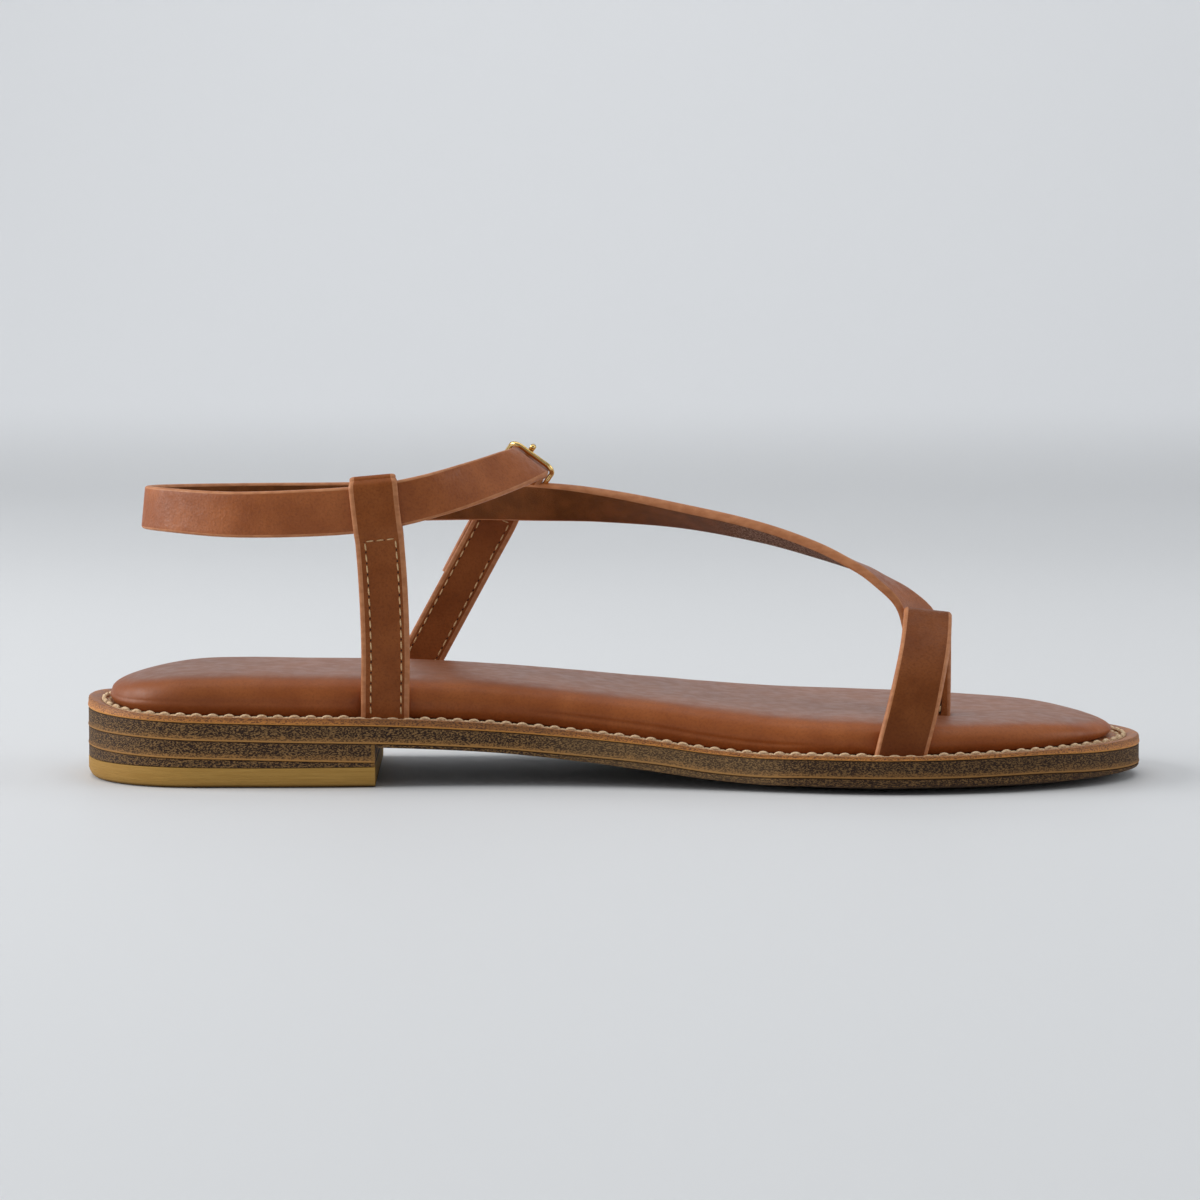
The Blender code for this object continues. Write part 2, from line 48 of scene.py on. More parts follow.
# Sole sizes
SOLE_LENGTH = 256.0
HEEL_BACK_X = -SOLE_LENGTH / 2
TOE_TIP_X = SOLE_LENGTH / 2
HEEL_CAP_LENGTH = 30.0
HEEL_CAP_POWER = 2.15
TOE_CAP_LENGTH = 66.0
TOE_CAP_POWER = 2.0
BREAST_X = -57.6
BREAST_SLANT = 2.0
GAP = 0.3
RIB_PROUD = 0.15
TREAD_INSET = 12.0
SEAM = 0.05
WEDGE_FADE = (4.0, 0.25)
OUTSOLE_FADE = 1.6
WHOLE_STATIONS = 240
HEEL_STATIONS = 100
FORE_STATIONS = 200
LEDGE_STATIONS = 400

# Straps
LONG_WIDTH = 10.5
LONG_THICK = 2.0
POST_WIDTH = 11.4
OUTER_WIDTH = 10.6
POST_THICK = 2.2
LOOP_THICK = 4.2
POST_LAYER = 1.08
STRAP_ROUND = 0.65
LOOP_ROUND = 0.95
POST_ROUND = 1.15
STRAP_STEP = 1.3
POST_STEP = 2.0
FOLD_STEPS = 6
FOOT_SINK = 3.0
FACE_STEPS = 10
EDGE_STEPS = 10

# Buckle
WIRE_RADIUS = 0.62
FRAME_HALF_LENGTH = 6.1
FRAME_HALF_WIDTH = 5.46
FRAME_CORNER = 2.2
PRONG_RADIUS = 0.65
PRONG_OVERHANG = 0.8
PRONG_PLACE = -1.4
PRONG_SWELL = 0.15
PRONG_CURL = (-130.0, 220.0)
PRONG_TIP = ((0.2, 0.62), (0.36, 0.36))
CORNER_STEPS = 10
CURL_STEPS = 16
PRONG_STEPS = 12
FRAME_SIDES = 20
PRONG_SIDES = 16

# Stitches, and dark marks of painted shade at needle holes and the slit: sizes, sideways lean, arch,
# depth of the middle, steps along, sides
STITCH_COLUMNS = "length width height lean arch sink steps sides"
Stitch = namedtuple("Stitch", STITCH_COLUMNS, defaults=(0.0, 0.0, 0.0, 6, 7))
WELT_STITCH = Stitch(3.1, 1.15, 0.95, 0.08, 0.42, 0.12, 7, 8)
POST_STITCH = Stitch(2.0, 0.38, 0.36, 0.05, 0.08, 0.04)
# Dark mark of painted shade at each needle hole.
POST_HOLE_SHADE = Stitch(0.55, 0.38, 0.1)
# Dark mark of painted shade that stands for the slit's gap.
SLIT_SHADE = Stitch(6.0, 0.8, 0.16)
SLIT_THREAD = Stitch(1.7, 0.42, 0.5, 0.12, 0.05)
STITCH_FULLNESS = 2.6
STITCH_BLUNTNESS = 0.55

# Rows of stitches on the posts, and the slit on the toe loop's leg
INNER_INSETS = {-1: 1.9, 1: 2.35}
OUTER_INSETS = {-1: 1.9, 1: 1.8}
POST_PITCH = 2.7
POST_ROW_STEP = 0.6
TOP_ROW_STEPS = 20
OPEN_FACE_START = 0.1
PAD_FACE_START = 8.0
INNER_STITCH_TOP = 58.8
OUTER_STITCH_TOP = 61.3
SLIT_X = 78.2
SLIT_Z = 18.0
SLIT_THREADS_Z = (16.8, 19.2)

# Rows of stitches and channel of the welt
CHANNEL_START = 3.1
CHANNEL_DEPTH = 0.25
LEDGE_DIP = 0.35
OUTER_ROW_INSET = 3.75
INNER_ROW_INSET = 5.05
INNER_ROW_DROP = 0.6
ROW_PITCH = 3.85
ROW_UNDER_STRAP = 0.55
ROW_WOBBLE = 0.12
ROW_WOBBLE_CLOSE = 0.37
STRAP_FOOT_MARGIN = 0.4
BASE_THREAD_INSET = 3.3
BASE_THREAD_RADIUS = 0.1
BASE_THREAD_SIDES = 6

# Footbed
PAD_STATIONS = 250
PAD_STRIPS = 50
PAD_RING_STEP = 0.3
PAD_SECTION_HEIGHT = 8.0
PAD_UNDERCUT = 0.1
PAD_UNDERCUT_SHARE = 0.14
PAD_FOOT_DROP = 0.55
PAD_FOOT_SHARE = 0.12
PAD_FAR_RISE = 0.7
PAD_FAR_ZONE = (-20.0, 20.0)
PAD_TOE_SHORT = 1.1
PAD_TOE_ZONE = (112.0, 126.0)
PAD_HEEL_FLARE = 0.6
PAD_FLARE_SHARE = 0.45
PAD_FLARE_ZONE = (-108.0, -122.0)
PAD_SWELLS = ((0.045, 0.18), (0.15, 0.03))

# Crease along the footbed's side
HEEL_CREASE = 0.1
HEEL_CREASE_ZONE = (-30.0, -60.0)
WAIST_CREASE = 0.35
WAIST_CREASE_RISE = (-25.0, -8.0)
WAIST_CREASE_FALL = (48.0, 34.0)
CREASE_SHARE = 0.30
CREASE_DROP = 0.11
CREASE_DROP_ZONE = (-5.0, 42.0)
CREASE_WIDTH = 0.05

# Sheen on the footbed's top, and less of it on the edge; the same share also paints the top darker and
# greyer, as painted shade
EDGE_SHEEN = 0.8
EDGE_SHEEN_START = 0.78
SHEEN_EDGE = 0.08

# Dents in the footbed: behind the straps' feet, and the pit round the toe slot
DENT_REACH = 2.2
DENT_NEAR = 0.3
DENT_CLEARANCE = 0.12
PIT_DEPTH = 1.6
PIT_MARGIN = 0.12
PIT_SLOPE = 0.9
PIT_HALF_WIDTH = 2.0
PIT_FLOOR = 12.0
PIT_HOLLOW = 0.35
PIT_HOLLOW_REACH = 4.0

# Plan of the sole: half widths from the heel's middle line
Plan = namedtuple("Plan", "x medial lateral")
PLAN = [
    Plan(-98.0, 29.3, 29.3),
    Plan(-70.0, 28.9, 29.6),
    Plan(-45.0, 27.2, 30.6),
    Plan(-20.0, 26.4, 32.8),
    Plan(5.0, 28.8, 36.6),
    Plan(30.0, 34.6, 41.2),
    Plan(48.0, 39.2, 43.8),
    Plan(62.0, 41.0, 44.6),
]

# Side profile of the sole: top of the welt, two seam lines, lower edge of the side, underside
Profile = namedtuple("Profile", "x top upper lower edge base")
PROFILE = [
    Profile(-128.0, 19.5, 16.6, 12.1, 10.6, 10.3),
    Profile(-116.0, 17.7, 15.9, 11.7, 10.4, 10.1),
    Profile(-100.0, 17.0, 15.3, 11.1, 10.1, 9.8),
    Profile(-82.0, 16.6, 14.85, 10.65, 9.9, 9.6),
    Profile(-54.0, 16.2, 14.25, 10.05, 9.2, 9.0),
    Profile(-30.0, 15.1, 13.0, 8.95, 8.0, 7.8),
    Profile(-10.0, 13.3, 11.5, 7.3, 6.1, 5.8),
    Profile(10.0, 11.15, 9.75, 5.5, 3.7, 3.4),
    Profile(22.0, 9.6, 8.4, 4.0, 2.4, 2.0),
    Profile(34.0, 8.85, 7.7, 3.3, 1.6, 0.9),
    Profile(46.0, 8.95, 7.8, 3.55, 1.65, 0.25),
    Profile(60.0, 8.95, 7.75, 3.6, 1.6, 0.0),
    Profile(80.0, 9.05, 7.9, 3.65, 1.8, 0.0),
    Profile(100.0, 9.5, 8.25, 3.9, 1.85, 0.0),
    Profile(114.0, 9.8, 7.8, 3.35, 2.0, 0.25),
    Profile(128.0, 9.9, 7.5, 2.9, 2.2, 1.0),
]

# Side profile of the heel under the sole: the seam of the two lifts, the top piece
Lift = namedtuple("Lift", "x seam piece")
LIFTS = [
    Lift(-128.0, 7.7, 4.8),
    Lift(-109.0, 7.0, 4.8),
    Lift(-85.0, 6.4, 4.6),
    Lift(-62.0, 5.8, 4.7),
    Lift(-50.0, 5.5, 4.75),
]

# Height of the padded footbed above the welt
Pad = namedtuple("Pad", "x rise")
PADS = [
    Pad(-121.0, 5.0),
    Pad(-111.0, 7.25),
    Pad(-101.0, 8.5),
    Pad(-85.0, 8.95),
    Pad(0.0, 8.65),
    Pad(22.0, 9.0),
    Pad(34.0, 8.6),
    Pad(46.0, 7.65),
    Pad(60.0, 7.15),
    Pad(84.0, 6.2),
    Pad(96.0, 5.6),
    Pad(104.0, 5.0),
    Pad(113.0, 3.8),
    Pad(121.0, 2.5),
]

# Section of the footbed from its foot to its top
PadRing = namedtuple("PadRing", "inset share")
PAD_RINGS = [
    PadRing(6.5, 0.0),
    PadRing(5.8, 0.12),
    PadRing(5.6, 0.34),
    PadRing(6.0, 0.56),
    PadRing(7.2, 0.77),
    PadRing(9.4, 0.92),
    PadRing(12.6, 0.985),
    PadRing(17.0, 1.0),
]

# Straps: middle line, direction across the band toward its upper edge, width, thickness
Fold = namedtuple("Fold", "x y z across_x across_y across_z width thick")
BACKWARD = (-1.0, 0.0, 0.0)
FORWARD = (1.0, 0.0, 0.0)
LOOP_ACROSS = (0.993, 0.0, -0.12)
POST_ACROSS = (-0.88, 0.0, 0.47)


def fold(x, y, z, across, width=LONG_WIDTH, thick=LONG_THICK):
    return Fold(x, y, z, *across, width, thick)


def inner_fold(x, y, z, thick=POST_THICK, width=POST_WIDTH):
    return fold(x, y, z, BACKWARD, width, thick)


def outer_fold(x, y, z, across=POST_ACROSS, width=OUTER_WIDTH, thick=POST_THICK):
    return fold(x, y, z, across, width, thick)


# From the toe slot over the instep, round the heel, through the buckle to the tip
LONG_STRAP = [
    fold(75.2, -10.0, 12.8, BACKWARD),
    fold(75.2, -10.0, 24.0, BACKWARD),
    fold(75.0, -10.0, 32.0, (-1.0, -0.08, 0.0)),
    fold(73.2, -10.0, 37.9, (-0.80, -0.55, -0.20)),
    fold(69.6, -9.6, 43.1, (-0.42, -0.89, -0.18)),
    fold(64.2, -8.6, 47.2, (-0.32, -0.94, 0.0)),
    fold(59.7, -7.0, 50.05, (-0.25, -0.965, 0.09), LONG_WIDTH, 2.2),
    fold(49.9, -3.0, 54.1, (-0.20, -0.94, 0.28), LONG_WIDTH, 2.3),
    fold(35.5, 2.0, 58.4, (-0.15, -0.91, 0.39), LONG_WIDTH, 2.3),
    fold(16.2, 9.0, 62.05, (-0.10, -0.87, 0.49), LONG_WIDTH, 2.3),
    fold(-3.5, 13.4, 64.4, (-0.05, -0.67, 0.74), LONG_WIDTH, 2.3),
    fold(-18.5, 15.2, 65.2, (0.0, -0.46, 0.888), LONG_WIDTH, 2.2),
    fold(-36.0, 23.2, 65.0, (0.0, -0.46, 0.89)),
    fold(-49.0, 26.8, 64.9, (0.0, -0.22, 0.97)),
    fold(-66.5, 27.5, 64.3, (0.0, -0.10, 1.0)),
    fold(-91.0, 22.3, 64.3, (0.03, -0.06, 1.0)),
    fold(-107.0, 12.3, 64.5, (0.07, -0.04, 1.0)),
    fold(-113.5, 0.0, 64.7, (0.10, 0.0, 1.0)),
    fold(-107.0, -12.3, 64.6, (0.07, 0.04, 1.0)),
    fold(-90.0, -23.3, 64.1, (0.03, 0.05, 1.0), 10.8),
    fold(-68.0, -28.2, 64.9, (0.0, 0.02, 1.0), 11.1),
    fold(-55.0, -28.6, 66.2, (-0.03, 0.0, 1.0), 10.9),
    fold(-43.4, -26.0, 68.6, (-0.16, 0.06, 0.98)),
    fold(-32.0, -17.6, 71.8, (-0.46, 0.22, 0.86)),
    fold(-24.0, -8.0, 74.4, (-0.70, 0.12, 0.70)),
    fold(-20.8, 0.0, 75.4, (-0.80, 0.0, 0.60)),
    fold(-20.8, 3.0, 74.9, (-0.81, 0.0, 0.59)),
    fold(-20.7, 6.2, 75.0, (-0.81, 0.0, 0.586), 10.4),
    fold(-20.7, 10.8, 75.9, (-0.81, 0.0, 0.586), 10.4),
    fold(-21.6, 17.2, 73.7, (-0.83, 0.0, 0.56), 9.8),
    fold(-24.4, 23.2, 71.0, (-0.86, 0.0, 0.51), 8.6),
    fold(-26.6, 27.4, 67.4, (-0.87, 0.0, 0.49), 9.4),
    fold(-30.45, 30.6, 60.7, POST_ACROSS, 10.0),
    fold(-34.6, 31.3, 53.15, POST_ACROSS, 10.0),
    fold(-39.2, 31.2, 44.6, POST_ACROSS, 9.8),
]

# From the inner edge of the sole over the big toe and down into the toe slot
TOE_LOOP = [
    fold(65.9, -36.2, 5.5, FORWARD, 12.0, 2.1),
    fold(67.2, -36.0, 11.0, FORWARD, 12.0, 2.1),
    fold(69.1, -35.1, 18.0, FORWARD, 12.0, 2.1),
    fold(71.1, -32.4, 25.8, FORWARD, 11.8, 2.1),
    fold(73.1, -26.8, 33.3, FORWARD, 11.7, 2.1),
    fold(74.2, -20.6, 38.2, LOOP_ACROSS, 11.6, 2.1),
    fold(74.7, -16.6, 40.05, LOOP_ACROSS, 11.5, 2.1),
    fold(74.9, -13.2, 38.8, LOOP_ACROSS, 11.5, 2.1),
    fold(75.1, -12.0, 35.0, LOOP_ACROSS, 11.5, 2.1),
    fold(75.2, -11.9, 25.0, FORWARD, 11.4, 2.1),
    fold(75.2, -11.9, 12.8, FORWARD, 11.2, 2.1),
]

# Inner post, folded over the ankle strap at its top
MEDIAL_POST = [
    inner_fold(-54.5, -22.4, 13.5),
    inner_fold(-54.4, -23.1, 20.0),
    inner_fold(-54.1, -25.4, 32.5),
    inner_fold(-54.4, -27.5, 46.7),
    inner_fold(-55.1, -28.5, 58.0),
    inner_fold(-55.4, -28.6, 60.6, LOOP_THICK),
    inner_fold(-56.1, -28.6, 66.6, LOOP_THICK),
    inner_fold(-56.55, -28.5, 71.3, LOOP_THICK),
    inner_fold(-56.65, -28.5, 72.4, 2.4, POST_WIDTH - 0.6),
]

# Outer post, leaning forward to the buckle and folded round its bar
LATERAL_POST = [
    outer_fold(-54.8, 25.0, 13.5),
    outer_fold(-52.1, 25.7, 18.6),
    outer_fold(-47.95, 27.0, 26.4),
    outer_fold(-39.0, 28.8, 42.9),
    outer_fold(-33.5, 29.4, 53.0),
    outer_fold(-29.5, 28.6, 60.4),
    outer_fold(-26.8, 25.6, 66.1, (-0.87, 0.0, 0.49), 10.0),
    outer_fold(-25.3, 22.0, 69.0, (-0.86, 0.0, 0.51), 9.2, 2.8),
    outer_fold(-24.0, 18.6, 70.6, (-0.83, 0.0, 0.56), 9.4, 4.0),
    outer_fold(-22.9, 16.0, 71.4, (-0.81, 0.0, 0.586), 10.0, 4.2),
    outer_fold(-22.3, 14.0, 72.4, (-0.81, 0.0, 0.586), 10.0, 3.4),
]

# Rows of each strap that pass the side of the footbed
STRAP_FEET = (MEDIAL_POST[:3], TOE_LOOP[:4], LATERAL_POST[:3])

# Buckle placing: middle, direction of its bars, direction of the strap's tip
BUCKLE_MIDDLE = Vector((-21.43, 11.49, 74.33))
BUCKLE_BAR = Vector((0.81, 0.0, -0.586)).normalized()
BUCKLE_RUN = Vector((-0.316, 0.826, -0.467)).normalized()
BUCKLE_OUT = BUCKLE_BAR.cross(BUCKLE_RUN).normalized()


# Shape helpers, as in the part's source

def cubic(start, rise, first, last, t):
    """Value at t on a curve with a start, a rise and a slope at each end."""
    return start + t * (first + t * ((3 * rise - 2 * first - last) + t * (first + last - 2 * rise)))


def smooth(rows, column, x):
    """Read a column at x along a smooth curve through the table's rows."""
    if x <= rows[0].x:
        return getattr(rows[0], column)
    if x >= rows[-1].x:
        return getattr(rows[-1], column)
    at = next(i for i in range(len(rows) - 1) if x <= rows[i + 1].x)
    span = rows[at + 1].x - rows[at].x
    t = (x - rows[at].x) / span
    values = [getattr(row, column) for row in rows]

    def slope(i):
        low = max(i - 1, 0)
        high = min(i + 1, len(rows) - 1)
        return (values[high] - values[low]) / (rows[high].x - rows[low].x)

    rise = values[at + 1] - values[at]
    return cubic(values[at], rise, slope(at) * span, slope(at + 1) * span, t)


def cap_share(distance, length, power):
    """Share of the full half width at a distance from the round end of the sole."""
    reach = 1.0 - min(max(distance / length, 0.0), 1.0)
    return (1.0 - reach ** power) ** (1.0 / power)


def half_widths(x):
    """Distances from the heel's middle line to the inner and outer edge at x."""
    medial = smooth(PLAN, "medial", x)
    lateral = smooth(PLAN, "lateral", x)
    heel = cap_share(x - HEEL_BACK_X, HEEL_CAP_LENGTH, HEEL_CAP_POWER)
    toe = cap_share(TOE_TIP_X - x, TOE_CAP_LENGTH, TOE_CAP_POWER)
    return medial * heel * toe, lateral * heel * toe


def box_middle():
    """How far the box's middle lies to the outer side of the heel's middle line."""
    reach = [half_widths(HEEL_BACK_X + i) for i in range(int(SOLE_LENGTH) + 1)]
    return (max(r[1] for r in reach) - max(r[0] for r in reach)) / 2


SIDE_SHIFT = box_middle()


def place(spot):
    return Vector((spot[0] * MM, (spot[1] - SIDE_SHIFT) * MM, spot[2] * MM))


def stations(start, end, count):
    """Stations along the sole, closer together at a round end."""
    found = []
    for i in range(count + 1):
        share = i / count
        if start == HEEL_BACK_X and end == TOE_TIP_X:
            share = (1 - math.cos(math.pi * share)) / 2
        elif start == HEEL_BACK_X:
            share = 1 - math.cos(math.pi / 2 * share)
        elif end == TOE_TIP_X:
            share = math.sin(math.pi / 2 * share)
        found.append(start + (end - start) * share)
    return found


def edge_points(places, side):
    """Edge of the sole on one side with its outward direction at each station."""
    sign = -1 if side == "medial" else 1
    column = 0 if side == "medial" else 1
    rows = [Vector((x, sign * half_widths(x)[column])) for x in places]
    points = []
    for i, point in enumerate(rows):
        along = rows[min(i + 1, len(rows) - 1)] - rows[max(i - 1, 0)]
        out = Vector((-along.y, along.x)) * sign
        if abs(point.x - HEEL_BACK_X) < TINY:
            out = Vector((-1.0, 0.0))
        if abs(point.x - TOE_TIP_X) < TINY:
            out = Vector((1.0, 0.0))
        points.append((point, out.normalized()))
    return points


def level(column, lift=0.0, rows=PROFILE):
    """Height rule of a seam line, never under the floor."""
    return lambda x: max(smooth(rows, column, x), 0.0) + lift


def between(low, high, share, lift=0.0):
    """Height rule at a share of the way from one seam line to another."""
    return lambda x: low(x) + (high(x) - low(x)) * share + lift


def ease(value, start, end):
    """0 at start, 1 at end, with a soft turn at both."""
    t = min(max((value - start) / (end - start), 0.0), 1.0)
    return t * t * (3 - 2 * t)


def curve_point(rows, at, t):
    """Smooth curve through the rows of a table of points, with the other columns alike."""
    before = rows[max(at - 1, 0)]
    start = rows[at]
    end = rows[at + 1]
    after = rows[min(at + 2, len(rows) - 1)]

    def gap(a, b):
        return max(math.dist(a[:3], b[:3]), TINY)

    span = gap(start, end)
    values = []
    for a, b, c, d in zip(before, start, end, after):
        rise = c - b
        first = span * (c - a) / (gap(before, start) + span) if before is not start else rise
        last = span * (d - b) / (gap(end, after) + span) if after is not end else rise
        values.append(cubic(b, rise, first, last, t))
    return values


def curve_samples(rows, step):
    found = []
    for at in range(len(rows) - 1):
        length = math.dist(rows[at][:3], rows[at + 1][:3])
        steps = max(2, math.ceil(length / step))
        found.extend(curve_point(rows, at, i / steps) for i in range(steps))
    found.append(list(rows[-1]))
    return found


# Mesh helpers

def to_scene(name, data):
    made = bpy.data.objects.new(name, data)
    bpy.context.scene.collection.objects.link(made)
    return made


def smooth_data(name, mesh, paints):
    """Mesh data with its paints, shaded smooth."""
    data = bpy.data.meshes.new(name)
    mesh.to_mesh(data)
    mesh.free()
    for paint in paints:
        data.materials.append(paint)
    data.shade_smooth()
    return data


def finish_mesh(name, mesh, paints, nodes=(), *, sharp):
    """Make the piece, shade it smooth but for sharp edges, and set it on the part's body."""
    bmesh.ops.remove_doubles(mesh, verts=mesh.verts, dist=WELD_DISTANCE)
    bmesh.ops.recalc_face_normals(mesh, faces=mesh.faces)
    data = smooth_data(name, mesh, paints)
    data.set_sharp_from_angle(angle=math.radians(sharp))
    made = to_scene(name, data)
    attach(made, "root")
    if nodes:
        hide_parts(*nodes)
    return made


def hoop_round(mesh, spot, first, second, radius, sides, turn=0.0):
    """Corners of a ring round a spot, from one direction toward another."""
    hoop = []
    for k in range(sides):
        angle = 2 * math.pi * (k + turn) / sides
        around = first * math.cos(angle) + second * math.sin(angle)
        hoop.append(mesh.verts.new(place(spot + around * radius)))
    return hoop


def skin(mesh, near, far, paint):
    """Faces between two hoops; paint gives each face's material from its place in the hoop."""
    for i, index in enumerate(paint):
        j = (i + 1) % len(paint)
        mesh.faces.new((near[i], near[j], far[j], far[i])).material_index = index


def close_tube(mesh, hoops, ring=False, paint=None):
    """Skin a row of hoops, and close it to a ring or at both ends."""
    paint = paint or [0] * len(hoops[0])
    for near, far in zip(hoops, hoops[1:]):
        skin(mesh, near, far, paint)
    if ring:
        skin(mesh, hoops[-1], hoops[0], paint)
    else:
        for end in (hoops[0], hoops[-1]):
            mesh.faces.new(end).material_index = max(paint)


# Materials

def tone(red, green, blue):
    """Shader colour of a screen colour."""
    def straight(value):
        share = value / 255
        return share / 12.92 if share <= 0.04045 else ((share + 0.055) / 1.055) ** 2.4
    return (straight(red), straight(green), straight(blue), 1.0)


SOCKETS = {
    "colour": "Base Color",
    "roughness": "Roughness",
    "specular": "Specular IOR Level",
    "metallic": "Metallic",
    "normal": "Normal",
}


class Paint:
    """A procedural material, put together from a few kinds of node. Sizes are in millimetres."""

    def __init__(self, name, **values):
        self.made = bpy.data.materials.new(name)
        self.made.use_nodes = True
        self.tree = self.made.node_tree
        self.shader = self.tree.nodes["Principled BSDF"]
        self.spots = self.node("ShaderNodeTexCoord").outputs["Object"]
        self.put(**values)

    def put(self, **values):
        for key, value in values.items():
            self.feed(self.shader.inputs[SOCKETS[key]], value)

    def feed(self, socket, value):
        if isinstance(value, bpy.types.NodeSocket):
            self.tree.links.new(value, socket)
        else:
            socket.default_value = value

    def node(self, kind, inputs=(), **settings):
        made = self.tree.nodes.new(kind)
        for key, value in settings.items():
            setattr(made, key, value)
        for key, value in dict(inputs).items():
            self.feed(made.inputs[key], value)
        return made

    def scaled(self, size):
        """Coordinates that grow by one in each size along X, Y and Z."""
        sizes = size if isinstance(size, tuple) else (size, size, size)
        factor = tuple(1.0 / (s * MM) for s in sizes)
        inputs = {0: self.spots, 1: factor}
        return self.node("ShaderNodeVectorMath", inputs, operation="MULTIPLY").outputs[0]

    def clouds(self, size, detail=2.0, rough=0.5):
        inputs = {"Vector": self.scaled(size), "Scale": 1.0, "Detail": detail, "Roughness": rough}
        return self.node("ShaderNodeTexNoise", inputs).outputs["Fac"]

    def cells(self, size):
        inputs = {"Vector": self.scaled(size), "Scale": 1.0}
        return self.node("ShaderNodeTexVoronoi", inputs, feature="SMOOTH_F1").outputs["Distance"]

    def reads(self, name):
        return self.node("ShaderNodeAttribute", attribute_name=name).outputs["Fac"]

    def ramp(self, factor, start, end, low=0.0, high=1.0):
        inputs = {0: factor, 1: start, 2: end, 3: low, 4: high}
        return self.node("ShaderNodeMapRange", inputs, interpolation_type="SMOOTHSTEP").outputs[0]

    def span(self, letter, *limits):
        """Ramp along X, Y or Z between two places in millimetres."""
        places = self.node("ShaderNodeSeparateXYZ", {0: self.scaled(1.0)})
        return self.ramp(places.outputs[letter], *limits)

    def zone(self, rise, fall):
        """Stretch along X with soft ends."""
        return self.times(self.span("X", *rise), self.span("X", *fall))

    def plus(self, first, second):
        return self.node("ShaderNodeMath", {0: first, 1: second}, operation="ADD").outputs[0]

    def times(self, first, second):
        return self.node("ShaderNodeMath", {0: first, 1: second}, operation="MULTIPLY").outputs[0]

    def blend(self, factor, first, second):
        return self.node("ShaderNodeMix", {0: factor, 6: first, 7: second}, data_type="RGBA").outputs[2]

    def relief(self, *layers):
        """Stack bumps, each a height and its depth."""
        normal = None
        for height, depth in layers:
            inputs = {"Height": height, "Distance": depth * MM, "Strength": 1.0}
            bump = self.node("ShaderNodeBump", inputs)
            if normal:
                self.feed(bump.inputs["Normal"], normal)
            normal = bump.outputs["Normal"]
        self.put(normal=normal)


def leather(name, light, dark, deep, grain=1.0, **values):
    """Smooth leather: soft clouds of two browns, a fine fleck and a pebbled grain."""
    paint = Paint(name, **values)
    clouds = paint.ramp(paint.clouds(9.0, 3.0), 0.32, 0.68)
    fleck = paint.ramp(paint.clouds(0.55, 2.0, 0.6), 0.42, 0.72)
    broad = paint.blend(clouds, dark, light)
    paint.put(colour=paint.blend(paint.times(fleck, 0.35), broad, deep))
    paint.put(roughness=paint.ramp(paint.clouds(2.2, 2.0), 0.3, 0.7, 0.40, 0.56))
    soft = (paint.clouds(5.0, 2.0), 0.10 * grain)
    pebbles = (paint.cells(0.62), 0.055 * grain)
    pores = (paint.clouds(0.25), 0.02 * grain)
    paint.relief(soft, pebbles, pores)
    return paint


def strap_face(name, share, specular, instep=None):
    """Grain side of the straps; a share under one darkens the browns as painted shade; instep is the
    shine over the instep.
    """
    browns = [tone(163, 91, 43), tone(146, 77, 32), tone(109, 55, 20)]
    # A share under one dims the browns: painted shade.
    shaded_browns = [tuple(part * share for part in brown[:3]) + (1.0,) for brown in browns]
    paint = leather(name, *shaded_browns)
    if instep:
        specular = paint.span("X", -15.0, 15.0, specular, instep)
    paint.put(specular=specular)
    return paint.made


def strap_edge():
    paint = Paint("strap_edge", specular=0.35)
    streak = paint.ramp(paint.clouds((2.4, 2.4, 1.2), 3.0), 0.3, 0.7)
    paint.put(colour=paint.blend(streak, tone(172, 108, 66), tone(190, 126, 82)))
    paint.put(roughness=paint.ramp(paint.clouds(1.0), 0.3, 0.7, 0.45, 0.62))
    paint.relief((paint.clouds(0.5, 3.0), 0.05))
    return paint.made


def strap_back():
    """Flesh side of the strap: smooth near the ankle, with a raised nap over the instep."""
    paint = Paint("strap_back", specular=0.12)
    fibre = paint.ramp(paint.clouds((0.55, 0.35, 0.3), 4.0, 0.7), 0.42, 0.62)
    nap = paint.zone((22.0, 34.0), (67.0, 60.0))
    nap_brown = paint.blend(fibre, tone(92, 66, 52), tone(176, 140, 120))
    clouds = paint.ramp(paint.clouds(4.0, 3.0), 0.3, 0.7)
    smooth_brown = paint.blend(clouds, tone(110, 62, 26), tone(130, 74, 34))
    # Lighter brown on the back of the toe loop's leg: painted light that lifts the shade under the
    # loop.
    toe_leg_painted_light = paint.span("X", 67.0, 70.0)
    smooth_brown = paint.blend(toe_leg_painted_light, smooth_brown, tone(168, 98, 50))
    paint.put(colour=paint.blend(nap, smooth_brown, nap_brown))
    paint.put(roughness=paint.ramp(nap, 0.0, 1.0, 0.55, 0.9))
    paint.relief((fibre, 0.08), (paint.clouds(0.3, 3.0), 0.05))
    return paint.made


def footbed_leather():
    paint = leather("footbed_leather", tone(166, 92, 42), tone(152, 80, 33), tone(120, 62, 25), 0.55)
    top = paint.reads("top")
    paint.put(specular=paint.ramp(top, 0.0, 1.0, 0.3, 0.95))
    side_brown = paint.shader.inputs["Base Color"].links[0].from_socket
    # Darker brown toward the back of the heel: painted shade.
    heel_end_shade = paint.span("X", -66.0, -116.0, 0.0, 0.45)
    side_brown = paint.blend(heel_end_shade, side_brown, tone(112, 60, 28))
    # The top's share of sheen also paints it a darker, greyer brown: painted shade.
    paint.put(colour=paint.blend(paint.ramp(top, 0.0, 1.0, 0.0, 0.45), side_brown, tone(96, 62, 42)))
    paint.put(roughness=paint.ramp(paint.clouds(3.0, 2.0), 0.3, 0.7, 0.42, 0.54))
    return paint.made


